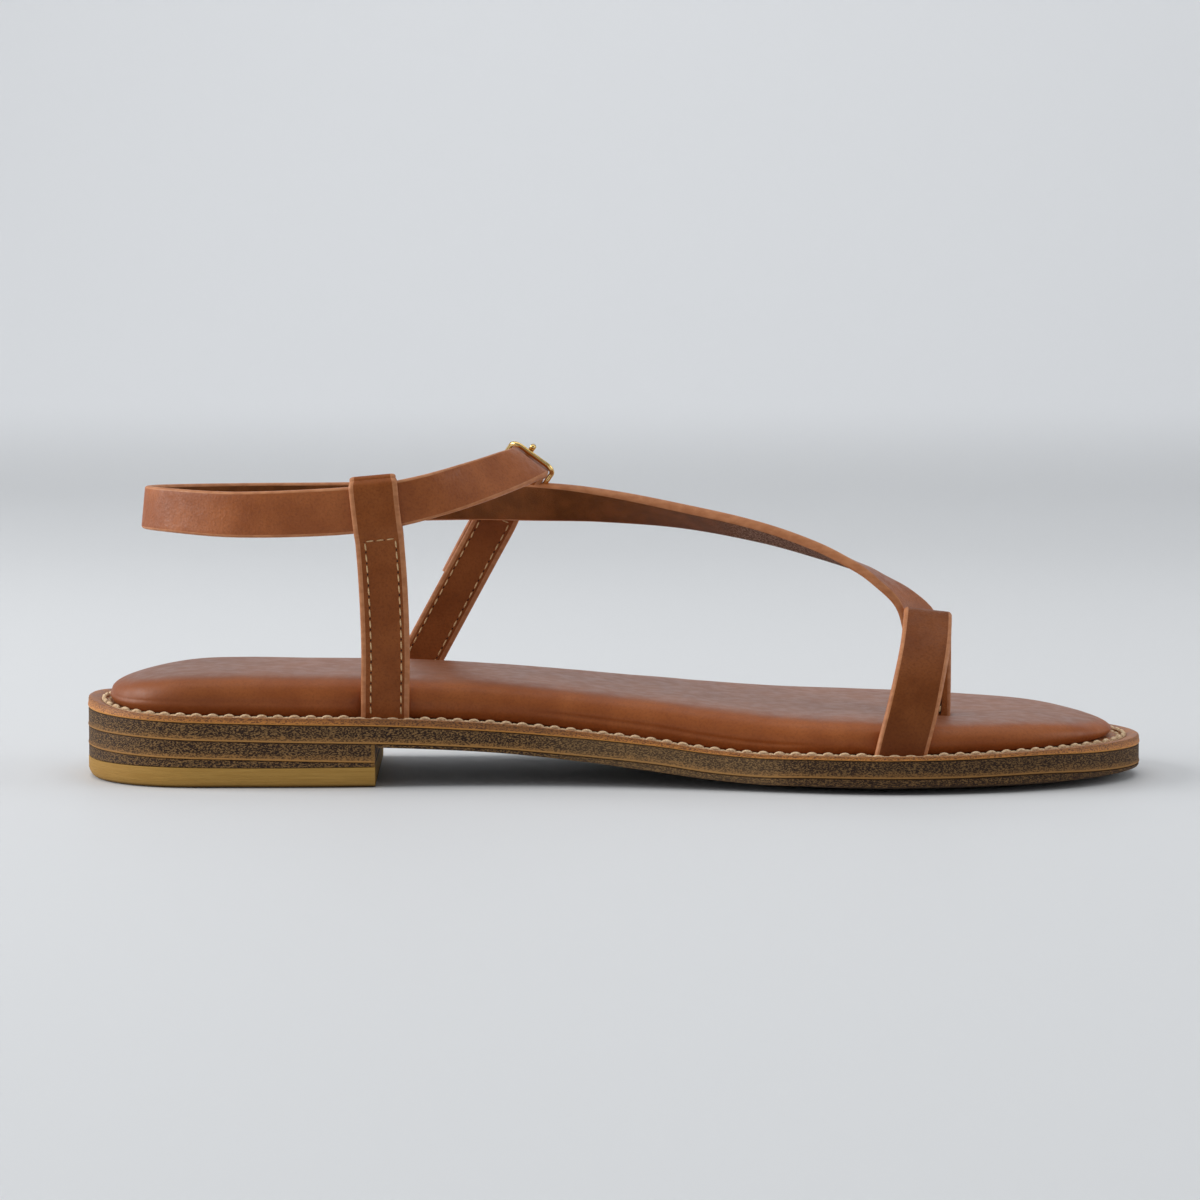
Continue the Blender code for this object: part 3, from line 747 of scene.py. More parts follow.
def speckled(paint, ground, flecks):
    """Board flecked with short wavy fibres, and the grain that the flecks come from."""
    wave = paint.clouds((1.5, 1.5, 1.0), 2.0)
    spots = paint.scaled((0.50, 0.50, 0.22))
    warped = paint.node("ShaderNodeVectorMath", {0: spots, 1: wave}, operation="ADD").outputs[0]
    inputs = {"Vector": warped, "Scale": 1.0, "Detail": 2.0, "Roughness": 0.65}
    grain = paint.node("ShaderNodeTexNoise", inputs).outputs["Fac"]
    fleck = paint.ramp(grain, 0.49, 0.57)
    return paint.blend(fleck, ground, flecks), grain


def heel_shade(paint, most):
    """Share of painted shade, a darker brown, at the back of the heel."""
    return paint.span("X", -100.0, -126.0, 0.0, most)


def sole_band():
    """Side of a stacked board: dark and flecked, turning to tan at its foot."""
    paint = Paint("sole_band", roughness=0.7, specular=0.14)
    rise = paint.reads("rise")
    flecks, grain = speckled(paint, tone(52, 37, 30), tone(146, 112, 72))
    uneven = paint.ramp(paint.clouds((5.0, 5.0, 0.8), 3.0), 0.2, 0.8, -0.14, 0.14)
    warm = paint.ramp(paint.plus(rise, uneven), 0.44, 0.12)
    tan_flecks = paint.blend(paint.ramp(grain, 0.40, 0.56), tone(96, 70, 46), tone(170, 124, 72))
    body = paint.blend(paint.times(warm, 0.8), flecks, tan_flecks)
    line = paint.ramp(rise, 0.13, 0.08)
    body = paint.blend(line, body, tone(186, 136, 78))
    gap_line = paint.ramp(rise, 0.93, 0.99, 0.0, 0.7)
    body = paint.blend(gap_line, body, tone(70, 50, 36))
    fore = paint.span("X", 34.0, 46.0, 0.0, 0.28)
    body = paint.blend(fore, body, tone(40, 24, 14))
    waist = paint.zone((-22.0, -6.0), (44.0, 32.0))
    body = paint.blend(paint.times(waist, 0.2), body, tone(150, 122, 88))
    body = paint.blend(heel_shade(paint, 0.35), body, tone(40, 30, 24))
    near_edge = paint.span("Y", -26.0, -28.0)
    breast = paint.span("X", BREAST_X + 0.05, BREAST_X + 0.25)
    corner = paint.times(paint.times(breast, paint.reads("heel")), near_edge)
    paint.put(colour=paint.blend(paint.times(corner, 0.5), body, tone(160, 118, 62)))
    paint.relief((grain, 0.06))
    return paint.made


def welt_side():
    """Side of the welt: tan and flecked, darker toward its top and over the arch."""
    paint = Paint("welt_leather", roughness=0.58, specular=0.35)
    rise = paint.reads("rise")
    flecks, grain = speckled(paint, tone(202, 132, 64), tone(118, 70, 38))
    upper_part = paint.ramp(rise, 0.25, 0.85, 0.0, 0.5)
    body = paint.blend(upper_part, flecks, tone(104, 62, 34))
    arch = paint.zone((-68.0, -56.0), (-4.0, -18.0))
    dark_flecks = paint.blend(paint.ramp(grain, 0.47, 0.57), tone(122, 82, 48), tone(56, 38, 28))
    body = paint.blend(paint.times(arch, 0.5), body, dark_flecks)
    line = paint.ramp(rise, 0.24, 0.14)
    paint.put(colour=paint.blend(line, body, tone(204, 140, 66)))
    paint.relief((grain, 0.06))
    return paint.made


def welt_ledge():
    paint = Paint("welt_ledge", specular=0.4)
    broad = paint.ramp(paint.clouds(2.6, 4.0, 0.6), 0.35, 0.65)
    fine = paint.ramp(paint.clouds(0.6, 2.0), 0.45, 0.7)
    body = paint.blend(broad, tone(150, 92, 56), tone(184, 124, 80))
    paint.put(colour=paint.blend(paint.times(fine, 0.55), body, tone(112, 66, 40)))
    paint.put(roughness=paint.ramp(broad, 0.0, 1.0, 0.45, 0.6))
    paint.relief((paint.clouds(0.8, 3.0), 0.10))
    return paint.made


def top_piece():
    """Tan rubber with fine lengthwise streaks, darker at the floor."""
    paint = Paint("top_piece_rubber", roughness=0.7, specular=0.15)
    streak = paint.ramp(paint.clouds((9.0, 9.0, 0.28), 4.0, 0.65), 0.3, 0.7)
    body = paint.blend(streak, tone(178, 136, 68), tone(192, 150, 80))
    body = paint.blend(heel_shade(paint, 0.5), body, tone(132, 98, 48))
    foot = paint.span("Z", 0.9, 0.1)
    paint.put(colour=paint.blend(paint.times(foot, 0.7), body, tone(92, 66, 34)))
    paint.relief((streak, 0.05))
    return paint.made


def tread_rubber():
    """Underside: dark rubber with a fine wavy tread."""
    paint = Paint("sole_rubber", roughness=0.75, specular=0.3)
    cells = paint.cells((2.6, 2.6, 2.6))
    paint.put(colour=paint.blend(paint.clouds(1.2, 3.0), tone(70, 54, 42), tone(96, 76, 58)))
    paint.relief((paint.ramp(cells, 0.2, 0.5), 0.35), (paint.clouds(0.4), 0.04))
    return paint.made


def thread(name, light, dark):
    paint = Paint(name, roughness=0.7, specular=0.25)
    strand = paint.ramp(paint.clouds((0.5, 0.5, 0.22), 3.0), 0.3, 0.7)
    paint.put(colour=paint.blend(strand, dark, light))
    paint.relief((strand, 0.06))
    return paint.made


def gold():
    paint = Paint("buckle_gold", metallic=1.0)
    paint.put(colour=paint.blend(paint.clouds(3.0), tone(222, 184, 112), tone(236, 202, 136)))
    paint.put(roughness=paint.ramp(paint.clouds(0.8, 3.0), 0.3, 0.7, 0.14, 0.26))
    return paint.made


# Sole

Ring = namedtuple("Ring", "step height paint", defaults=(0,))


def sole_layer(name, places, rings, paints, node, rise=None, cap=0):
    """Close a stack of outlines; each ring has an outward step, a height rule and its band's paint."""
    mesh = bmesh.new()
    share = mesh.verts.layers.float.new("rise")
    is_heel = mesh.verts.layers.float.new("heel")
    sides = {side: edge_points(places, side) for side in ("medial", "lateral")}
    round_start = abs(places[0] - HEEL_BACK_X) < TINY
    round_end = abs(places[-1] - TOE_TIP_X) < TINY
    last = len(places) - 1
    stack = []
    for row in rings:
        ring = {"medial": [], "lateral": []}
        for side in ring:
            for i, (point, out) in enumerate(sides[side]):
                tip = (i == 0 and round_start) or (i == last and round_end)
                if tip and side == "lateral":
                    ring[side].append(ring["medial"][i])
                    continue
                spot = point + out * row.step
                if (i == 0 and not round_start) or (i == last and not round_end):
                    spot.x = point.x - BREAST_SLANT / 2 * (1 if side == "lateral" else -1)
                height = row.height(spot.x)
                vert = mesh.verts.new(place((spot.x, spot.y, height)))
                if rise:
                    low, high = rise[0](spot.x), rise[1](spot.x)
                    vert[share] = (height - low) / (high - low)
                vert[is_heel] = 0.0 if round_end else 1.0
                ring[side].append(vert)
        stack.append(ring)
    for row, low, high in zip(rings, stack, stack[1:]):
        for side in low:
            for i in range(last):
                corners = (low[side][i], low[side][i + 1], high[side][i + 1], high[side][i])
                mesh.faces.new(corners).material_index = row.paint
        for i, is_round in ((0, round_start), (last, round_end)):
            if not is_round:
                near, far = "medial", "lateral"
                corners = (low[near][i], low[far][i], high[far][i], high[near][i])
                mesh.faces.new(corners).material_index = row.paint
    for ring in (stack[0], stack[-1]):
        for i in range(last):
            near, far = ring["medial"], ring["lateral"]
            corners = dict.fromkeys((near[i], near[i + 1], far[i + 1], far[i]))
            mesh.faces.new(list(corners)).material_index = cap
    finish_mesh(name, mesh, paints, (node,), sharp=30.0)


def board_rings(low, high):
    """Side of a stacked board: a fine tan rib along its foot, a flat band and an eased top edge."""
    return [
        Ring(-0.12, low),
        Ring(RIB_PROUD * 0.7, between(low, high, 0.0, 0.18)),
        Ring(RIB_PROUD, between(low, high, 0.0, 0.34)),
        Ring(RIB_PROUD * 0.7, between(low, high, 0.0, 0.52)),
        Ring(0.02, between(low, high, 0.22)),
        Ring(0.0, between(low, high, 0.5)),
        Ring(0.0, between(low, high, 0.95)),
        Ring(-0.1, between(low, high, 1.0)),
    ]


def build_sole(paints):
    whole = stations(HEEL_BACK_X, TOE_TIP_X, WHOLE_STATIONS)
    heel = stations(HEEL_BACK_X, BREAST_X, HEEL_STATIONS)
    fore = stations(BREAST_X + GAP, TOE_TIP_X, FORE_STATIONS)
    band = [paints["band"]]
    boards = (
        ("heel_lift_upper", heel, level("seam", SEAM, LIFTS), level("lower", -SEAM)),
        ("midsole", whole, level("lower", SEAM), level("upper", -SEAM)),
    )
    for node, places, low, high in boards:
        rings = board_rings(low, high)
        sole_layer(node + "_side", places, rings, band, node, (low, high))

    low, high = level("piece", SEAM, LIFTS), level("seam", -SEAM, LIFTS)
    rings = [
        Ring(-0.1, low),
        Ring(0.02, between(low, high, 0.08)),
        Ring(0.0, between(low, high, 0.92)),
        Ring(-0.15, high),
    ]
    fade = (lambda x: low(x) - WEDGE_FADE[0], lambda x: high(x) + WEDGE_FADE[1])
    sole_layer("heel_lift_lower_side", heel, rings, band, "heel_lift_lower", fade)

    piece = level("piece", -SEAM, LIFTS)
    rings = [
        Ring(-1.2, lambda x: 0.0),
        Ring(-0.8, lambda x: 0.25),
        Ring(-0.5, lambda x: 0.6),
        Ring(-0.1, lambda x: 1.4),
        Ring(0.1, lambda x: 2.0),
        Ring(0.1, lambda x: piece(x) - 0.2),
        Ring(-0.1, piece),
    ]
    rubber = [paints["piece"]]
    sole_layer("heel_top_piece_side", heel, rings, rubber, "heel_top_piece")

    base, edge, lower = level("base"), level("edge"), level("lower", -SEAM)
    rings = [
        Ring(-TREAD_INSET, base, 1),
        Ring(-TREAD_INSET / 2, between(base, edge, 0.3), 1),
        Ring(-1.4, between(base, edge, 0.8), 1),
        Ring(-0.5, between(base, edge, 0.95)),
        Ring(-0.15, between(edge, lower, 0.08)),
        Ring(0.0, between(edge, lower, 0.4)),
        Ring(0.0, between(edge, lower, 0.9)),
        Ring(-0.2, lower),
    ]
    fade = (lambda x: edge(x) - OUTSOLE_FADE, lower)
    tread = [paints["band"], paints["tread"]]
    sole_layer("outsole_side", fore, rings, tread, "outsole", fade, 1)

    low, top = level("upper", SEAM), level("top", -GAP / 2)
    dip = level("top", -GAP / 2 - LEDGE_DIP)
    floor = level("top", -GAP / 2 - LEDGE_DIP - CHANNEL_DEPTH)
    rings = [
        Ring(-0.12, low),
        Ring(RIB_PROUD * 0.8, between(low, top, 0.12)),
        Ring(RIB_PROUD, between(low, top, 0.25)),
        Ring(0.02, between(low, top, 0.5)),
        Ring(0.0, between(low, top, 0.75)),
        Ring(-0.12, between(low, top, 0.92)),
        Ring(-0.34, between(low, top, 0.98), 1),
        Ring(-0.6, top, 1),
        Ring(-CHANNEL_START + 0.2, dip, 1),
        Ring(-CHANNEL_START - 0.1, floor, 1),
        Ring(-9.0, floor, 1),
    ]
    leathers = [paints["welt"], paints["ledge"]]
    sole_layer("welt_board", whole, rings, leathers, "welt", (low, top), 1)


# Stitches

def lozenge(mesh, middle, axes, stitch, paint=0):
    """One stitch: a rounded thread that rises from its hole and dips into the next."""
    along, side, up = axes
    middle = middle - up * stitch.sink
    rows = []
    for i in range(1, stitch.steps):
        s = -1 + 2 * i / stitch.steps
        swell = (1 - abs(s) ** STITCH_FULLNESS) ** STITCH_BLUNTNESS
        spot = middle + along * (s * stitch.length / 2) + side * (stitch.lean * s)
        spot += up * (stitch.arch * (1 - s * s))
        hoop = []
        for k in range(stitch.sides):
            angle = 2 * math.pi * k / stitch.sides
            sway = side * (math.cos(angle) * stitch.width / 2 * swell)
            rise = up * (math.sin(angle) * stitch.height / 2 * swell)
            hoop.append(mesh.verts.new(place(spot + sway + rise)))
        rows.append(hoop)
    for near, far in zip(rows, rows[1:]):
        skin(mesh, near, far, [paint] * stitch.sides)
    for hoop, sign in ((rows[0], -1), (rows[-1], 1)):
        end = middle + along * (sign * stitch.length / 2) + side * (stitch.lean * sign)
        tip = mesh.verts.new(place(end))
        for k in range(stitch.sides):
            face = mesh.faces.new((hoop[k], hoop[(k + 1) % stitch.sides], tip))
            face.material_index = paint


def walk(points, pitch):
    """Spots along a line of points at an even pitch, each with its direction."""
    lengths = [0.0]
    for a, b in zip(points, points[1:]):
        lengths.append(lengths[-1] + (b - a).length)
    count = max(1, round(lengths[-1] / pitch))
    found = []
    at = 0
    for n in range(count):
        goal = lengths[-1] * (n + 0.5) / count
        while lengths[at + 1] < goal:
            at += 1
        share = (goal - lengths[at]) / (lengths[at + 1] - lengths[at])
        spot = points[at].lerp(points[at + 1], share)
        found.append((spot, (points[at + 1] - points[at]).normalized()))
    return found


def ledge_line(inset):
    """Closed line in the dip of the ledge, once round the sole."""
    places = stations(HEEL_BACK_X, TOE_TIP_X, LEDGE_STATIONS)
    line = []
    for side, order in (("medial", 1), ("lateral", -1)):
        for point, out in edge_points(places, side)[::order]:
            spot = point - out * inset
            z = smooth(PROFILE, "top", spot.x) - GAP / 2 - LEDGE_DIP
            line.append(Vector((spot.x, spot.y, z)))
    return line


def at_strap_foot(spot):
    """True where a strap goes down through the rows of stitches."""
    for rows in STRAP_FEET:
        foot = rows[1]
        if abs(spot.x - foot.x) < foot.width / 2 + STRAP_FOOT_MARGIN and spot.y * foot.y > 0:
            return True
    return False


def build_welt_stitches(paints):
    mesh = bmesh.new()
    up = Vector((0.0, 0.0, 1.0))
    for inset, drop, lean in ((OUTER_ROW_INSET, 0.0, 1), (INNER_ROW_INSET, INNER_ROW_DROP, -1)):
        for spot, along in walk(ledge_line(inset), ROW_PITCH):
            under_strap = at_strap_foot(spot)
            if inset == INNER_ROW_INSET and under_strap:
                continue
            flat = ROW_UNDER_STRAP if under_strap else 1.0
            wobble = noise.noise(spot * ROW_WOBBLE_CLOSE) * ROW_WOBBLE
            stitch = WELT_STITCH._replace(
                width=WELT_STITCH.width * (1 + wobble),
                height=WELT_STITCH.height * flat,
                lean=WELT_STITCH.lean * lean,
                arch=WELT_STITCH.arch * flat,
                sink=WELT_STITCH.sink + drop,
            )
            lozenge(mesh, spot, (along, up.cross(along).normalized(), up), stitch)
    hoops = []
    line = ledge_line(BASE_THREAD_INSET)
    for i, spot in enumerate(line):
        along = line[(i + 1) % len(line)] - line[i - 1]
        side = up.cross(along).normalized()
        hoops.append(hoop_round(mesh, spot, side, up, BASE_THREAD_RADIUS, BASE_THREAD_SIDES))
    close_tube(mesh, hoops, True)
    finish_mesh("welt_stitches", mesh, [paints["cord"]], sharp=80.0)


# Footbed

def pad_profile():
    """Inset and share of the pad's side, from its foot to its top."""
    rows = [(ring.inset, ring.share * PAD_SECTION_HEIGHT, 0.0) for ring in PAD_RINGS]
    samples = curve_samples(rows, PAD_RING_STEP)
    return [(s[0], s[1] / PAD_SECTION_HEIGHT) for s in samples]


def strap_at_height(rows, z):
    """Middle of a strap's foot at a height."""
    for a, b in zip(rows, rows[1:]):
        if z <= b.z:
            t = max((z - a.z) / (b.z - a.z), 0.0)
            return a.x + (b.x - a.x) * t, a.y + (b.y - a.y) * t
    return rows[-1].x, rows[-1].y


def dented(spot):
    """Set the pad back behind each strap's foot and down into the toe slot."""
    x, y, z = spot
    for rows in STRAP_FEET:
        middle_x, middle_y = strap_at_height(rows, z)
        away = abs(x - middle_x) - rows[0].width / 2
        if away > DENT_REACH or y * middle_y < 0:
            continue
        sign = 1 if middle_y > 0 else -1
        limit = abs(middle_y) - rows[0].thick / 2 - DENT_CLEARANCE
        over = abs(y) - limit
        if over > 0:
            y -= sign * over * ease(away, DENT_REACH, DENT_NEAR)
    slot_x, slot_y = LONG_STRAP[0].x, (LONG_STRAP[0].y + TOE_LOOP[-1].y) / 2
    off_x = max(abs(x - slot_x) - LONG_STRAP[0].width / 2 - PIT_MARGIN, 0.0)
    off_y = max(abs(y - slot_y) - PIT_HALF_WIDTH - PIT_MARGIN, 0.0)
    off = math.hypot(off_x, off_y)
    if z > PIT_FLOOR:
        hollow = PIT_HOLLOW * math.exp(-(off / PIT_HOLLOW_REACH) ** 2)
        z -= PIT_DEPTH * ease(off, PIT_SLOPE, 0.0) + hollow
    return x, y, z


def build_footbed(paints):
    places = stations(HEEL_BACK_X, TOE_TIP_X, PAD_STATIONS)
    sides = [edge_points(places, side) for side in ("medial", "lateral")]
    profile = pad_profile()

    def side_spot(point, out, inset, share):
        under = PAD_UNDERCUT * ease(share, PAD_UNDERCUT_SHARE, 0.0)
        at_heel = ease(point.x, *HEEL_CREASE_ZONE)
        at_waist = ease(point.x, *WAIST_CREASE_RISE) * ease(point.x, *WAIST_CREASE_FALL)
        height = CREASE_SHARE - CREASE_DROP * ease(point.x, *CREASE_DROP_ZONE)
        depth = max(HEEL_CREASE * at_heel, WAIST_CREASE * at_waist)
        crease = depth * math.exp(-((share - height) / CREASE_WIDTH) ** 2)
        tip = PAD_TOE_SHORT * ease(point.x, *PAD_TOE_ZONE)
        flare = PAD_HEEL_FLARE * ease(share, PAD_FLARE_SHARE, 0.0) * ease(point.x, *PAD_FLARE_ZONE)
        spot = point - out * (inset + under + crease + tip - flare)
        rise = smooth(PADS, "rise", spot.x) + PAD_FAR_RISE * ease(spot.y, *PAD_FAR_ZONE)
        z = smooth(PROFILE, "top", spot.x) + GAP / 2 + share * rise
        return Vector((spot.x, spot.y, z - PAD_FOOT_DROP * ease(share, PAD_FOOT_SHARE, 0.0)))

    mesh = bmesh.new()
    is_top = mesh.verts.layers.float.new("top")
    edge = SHEEN_EDGE * PAD_STRIPS
    sheen_and_shade = [EDGE_SHEEN * ease(share, EDGE_SHEEN_START, 1.0) for _, share in profile]
    middle = []
    for k in range(1, PAD_STRIPS):
        middle.append(EDGE_SHEEN + (1.0 - EDGE_SHEEN) * ease(min(k, PAD_STRIPS - k), 0.0, edge))
    columns = []
    for i in range(len(places)):
        near = [side_spot(*sides[0][i], *row) for row in profile]
        far = [side_spot(*sides[1][i], *row) for row in profile]
        top = [near[-1].lerp(far[-1], k / PAD_STRIPS) for k in range(1, PAD_STRIPS)]
        column = []
        for spot, shine_and_shade in zip(near + top + far[::-1], sheen_and_shade + middle + sheen_and_shade[::-1]):
            swell = sum(noise.noise(spot * close) * high for close, high in PAD_SWELLS)
            spot = Vector((spot.x, spot.y, spot.z + swell))
            vert = mesh.verts.new(place(dented(spot)))
            vert[is_top] = shine_and_shade
            column.append(vert)
        columns.append(column)
    for near, far in zip(columns, columns[1:]):
        for k in range(len(near) - 1):
            mesh.faces.new((near[k], near[k + 1], far[k + 1], far[k]))
        mesh.faces.new((near[0], far[0], far[-1], near[-1]))
    pad = finish_mesh("footbed_pad", mesh, [paints["pad"]], ("footbed",), sharp=60.0)


# Straps

Frame = namedtuple("Frame", "spot along across out width thick")


def frames(rows, step=STRAP_STEP):
    """Spots along a strap with the directions along, across and out of it, its width and thickness."""
    samples = curve_samples(rows, step)
    spots = [Vector(s[:3]) for s in samples]
    found = []
    for i, sample in enumerate(samples):
        along = (spots[min(i + 1, len(spots) - 1)] - spots[max(i - 1, 0)]).normalized()
        across = Vector(sample[3:6])
        across = (across - along * across.dot(along)).normalized()
        found.append(Frame(spots[i], along, across, along.cross(across), *sample[6:8]))
    return found


def band_section(width, thick, soft):
    """Section of a band: a face, a round edge, the back, a round edge."""
    half = width / 2
    face = thick / 2
    points = []
    for i in range(FACE_STEPS):
        points.append((-(half - soft) + 2 * (half - soft) * i / FACE_STEPS, face))
    for i in range(EDGE_STEPS):
        angle = math.pi / 2 - math.pi * i / EDGE_STEPS
        points.append((half - soft + soft * math.cos(angle), face * math.sin(angle)))
    for across, out in list(points):
        points.append((-across, -out))
    return points


def sweep_band(name, strip, paints, nodes=(), soft=STRAP_ROUND, flip=False):
    """Sweep a band along its frames; flip turns its grain side to the other face."""
    mesh = bmesh.new()
    front, back = (2, 0) if flip else (0, 2)
    paint = [front] * FACE_STEPS + [1] * EDGE_STEPS + [back] * FACE_STEPS + [1] * EDGE_STEPS
    hoops = []
    for at in strip:
        section = band_section(at.width, at.thick, soft)
        hoops.append([mesh.verts.new(place(at.spot + at.across * a + at.out * o)) for a, o in section])
    close_tube(mesh, hoops, False, paint)
    finish_mesh(name, mesh, paints, nodes, sharp=50.0)


def above_ledge(strip):
    """Leave out what lies deeper than a little under the ledge."""
    return [at for at in strip if at.spot.z > smooth(PROFILE, "top", at.spot.x) - FOOT_SINK]


def doubled(rows, layer):
    """Rows of a strap that goes up one face of a post, over its top and down the other face."""
    strip = frames(rows)
    up = []
    down = []
    for at in strip:
        offset = (at.thick - layer) / 2
        up.append(fold(*(at.spot - at.out * offset), at.across, at.width, layer))
        down.append(fold(*(at.spot + at.out * offset), at.across, at.width, layer))
    end = strip[-1]
    reach = (end.thick - layer) / 2
    turn = []
    for i in range(1, FOLD_STEPS):
        angle = math.pi * i / FOLD_STEPS
        spot = end.spot - end.out * (reach * math.cos(angle)) + end.along * (reach * math.sin(angle))
        turn.append(fold(*spot, end.across, end.width, layer))
    return up + turn + down[::-1]


def build_straps(paints):
    edge = paints["edge"]
    back = paints["back"]
    sweep_band("long_strap", frames(LONG_STRAP), [paints["face"], edge, back], ("upper",))
    loop = above_ledge(frames(TOE_LOOP))
    sweep_band("toe_loop", loop, [paints["loop"], edge, back], (), LOOP_ROUND, True)
    for name, rows in (("inner_post", MEDIAL_POST), ("outer_post", LATERAL_POST)):
        post = above_ledge(frames(doubled(rows, POST_LAYER), POST_STEP))
        sweep_band(name, post, [paints["post"], edge, paints["post"]], (), POST_ROUND, True)


def post_stitches(mesh, rows, insets, top, sign, start):
    """U-shaped row of stitches on one face of a post, up one edge, across and down the other."""
    strip = frames(rows, POST_ROW_STEP)
    rising = [at for at in strip if smooth(PROFILE, "top", at.spot.x) + start < at.spot.z < top]
    lines = []
    for edge in (-1, 1):
        reach = edge * (rows[0].width / 2 - insets[edge])
        lines.append([at.spot + at.across * reach + at.out * (sign * at.thick / 2) for at in rising])
    ends = (lines[0][-1], lines[1][-1])
    across = [ends[0].lerp(ends[1], i / TOP_ROW_STEPS) for i in range(TOP_ROW_STEPS + 1)]
    for line in (lines[0], across, lines[1]):
        for spot, along in walk(line, POST_PITCH):
            near = min(strip, key=lambda at: (at.spot - spot).length)
            up = near.out * sign
            axes = (along, up.cross(along).normalized(), up)
            lozenge(mesh, spot, axes, POST_STITCH)
            # Dark mark of painted shade at the needle hole between stitches.
            lozenge(mesh, spot + along * (POST_PITCH / 2), axes, POST_HOLE_SHADE, 1)


def slot_stitches(mesh):
    """Slit, a dark mark of painted shade, with two threads on the leg of the toe loop, just above the
    slot.
    """
    leg = TOE_LOOP[-1]
    y = leg.y - leg.thick / 2
    axes = (Vector((0.0, 0.0, 1.0)), Vector((1.0, 0.0, 0.0)), Vector((0.0, -1.0, 0.0)))
    lozenge(mesh, Vector((SLIT_X, y, SLIT_Z)), axes, SLIT_SHADE, 1)
    for z in SLIT_THREADS_Z:
        lozenge(mesh, Vector((SLIT_X, y, z)), axes, SLIT_THREAD)


def build_post_stitches(paints):
    mesh = bmesh.new()
    inner = (MEDIAL_POST, INNER_INSETS, INNER_STITCH_TOP)
    outer = (LATERAL_POST, OUTER_INSETS, OUTER_STITCH_TOP)
    post_stitches(mesh, *inner, 1, OPEN_FACE_START)
    post_stitches(mesh, *inner, -1, PAD_FACE_START)
    post_stitches(mesh, *outer, 1, PAD_FACE_START)
    post_stitches(mesh, *outer, -1, OPEN_FACE_START)
    slot_stitches(mesh)
    threads = [paints["thread"], paints["hole_shade"]]
    finish_mesh("post_stitches", mesh, threads, sharp=80.0)


# Buckle

def buckle_spot(bar, run, out):
    return BUCKLE_MIDDLE + BUCKLE_BAR * bar + BUCKLE_RUN * run + BUCKLE_OUT * out


def wire(name, path, radii, paint, node, sides, ring=False):
    """Round wire along a path of points."""
    mesh = bmesh.new()
    hoops = []
    count = len(path)
    for i, spot in enumerate(path):
        if ring:
            along = (path[(i + 1) % count] - path[i - 1]).normalized()
        else:
            along = (path[min(i + 1, count - 1)] - path[max(i - 1, 0)]).normalized()
        flat = BUCKLE_OUT if ring else BUCKLE_BAR
        flat = (flat - along * flat.dot(along)).normalized()
        third = along.cross(flat)
        hoops.append(hoop_round(mesh, spot, flat, third, radii[i], sides, 0.5))
    close_tube(mesh, hoops, ring)
    finish_mesh(name, mesh, [paint], (node,), sharp=60.0)


def build_buckle(paints):
    bar = FRAME_HALF_LENGTH - FRAME_CORNER
    run = FRAME_HALF_WIDTH - FRAME_CORNER
    path = []
    for quarter, (side, end) in enumerate(((1, 1), (-1, 1), (-1, -1), (1, -1))):
        for i in range(CORNER_STEPS + 1):
            angle = math.pi / 2 * (quarter + i / CORNER_STEPS)
            reach = FRAME_CORNER * math.cos(angle)
            rise = FRAME_CORNER * math.sin(angle)
            path.append(buckle_spot(side * bar + reach, end * run + rise, 0.0))
    radii = [WIRE_RADIUS] * len(path)
    wire("buckle_oblong", path, radii, paints["gold"], "buckle_frame", FRAME_SIDES, True)

    curl = WIRE_RADIUS + GAP + PRONG_RADIUS
    path = []
    radii = []
    start, turn = PRONG_CURL
    for i in range(CURL_STEPS + 1):
        angle = math.radians(start + turn * i / CURL_STEPS)
        run = FRAME_HALF_WIDTH + curl * math.cos(angle)
        path.append(buckle_spot(PRONG_PLACE, run, curl * math.sin(angle)))
        radii.append(PRONG_RADIUS)
    for i in range(1, PRONG_STEPS + 1):
        share = i / PRONG_STEPS
        run = FRAME_HALF_WIDTH - share * (2 * FRAME_HALF_WIDTH + PRONG_OVERHANG)
        path.append(buckle_spot(PRONG_PLACE, run, curl))
        radii.append(PRONG_RADIUS * (1 + PRONG_SWELL * share))
    tip = path[-1]
    for back, size in PRONG_TIP:
        path.append(tip - BUCKLE_RUN * back)
        radii.append(PRONG_RADIUS * size)
    wire("buckle_tongue", path, radii, paints["gold"], "buckle_prong", PRONG_SIDES)


# Stage, light and camera

FLOOR_LEVEL = -0.0002
FLOOR_HALF = 5.0
FLOOR_FRONT = -5.0
SWEEP_START = 1.4
SWEEP_RADIUS = 1.2
SWEEP_STEPS = 24
WALL_TOP = 3.2
NEAR_GREY = (0.70, 0.712, 0.725, 1.0)
FAR_GREY = (0.705, 0.717, 0.73, 1.0)
WALL_GREY = (0.85, 0.864, 0.884, 1.0)
FAR_FADE = (0.0, 500.0)
WALL_FADE = (0.0, 60.0)
SKY_COLOUR = (0.93, 0.965, 1.0, 1.0)
SKY_STRENGTH = 0.30
CAMERA_SPOT = (-0.0035, -0.7563, 0.104)
CAMERA_TILT = 85.3
CAMERA_LENS = 93.15
CAMERA_SENSOR = 36.0
CAMERA_CLIP = 0.01

# Area lights in metres and watts
Light = namedtuple("Light", "name spot target size power")
LIGHTS = [
    Light("overhead", (0.0, 0.0, 1.6), (0.0, 0.0, 0.0), (2.2, 1.2), 10.8),
    Light("left", (-1.5, 0.0, 0.65), (0.0, 0.0, 0.04), (1.1, 1.0), 22.0),
    Light("right", (1.6, 0.05, 0.6), (0.0, 0.0, 0.04), (1.0, 0.9), 6.5),
    Light("wall", (0.0, 1.1, 2.2), (0.0, 2.6, 2.0), (3.0, 0.8), 22.0),
]


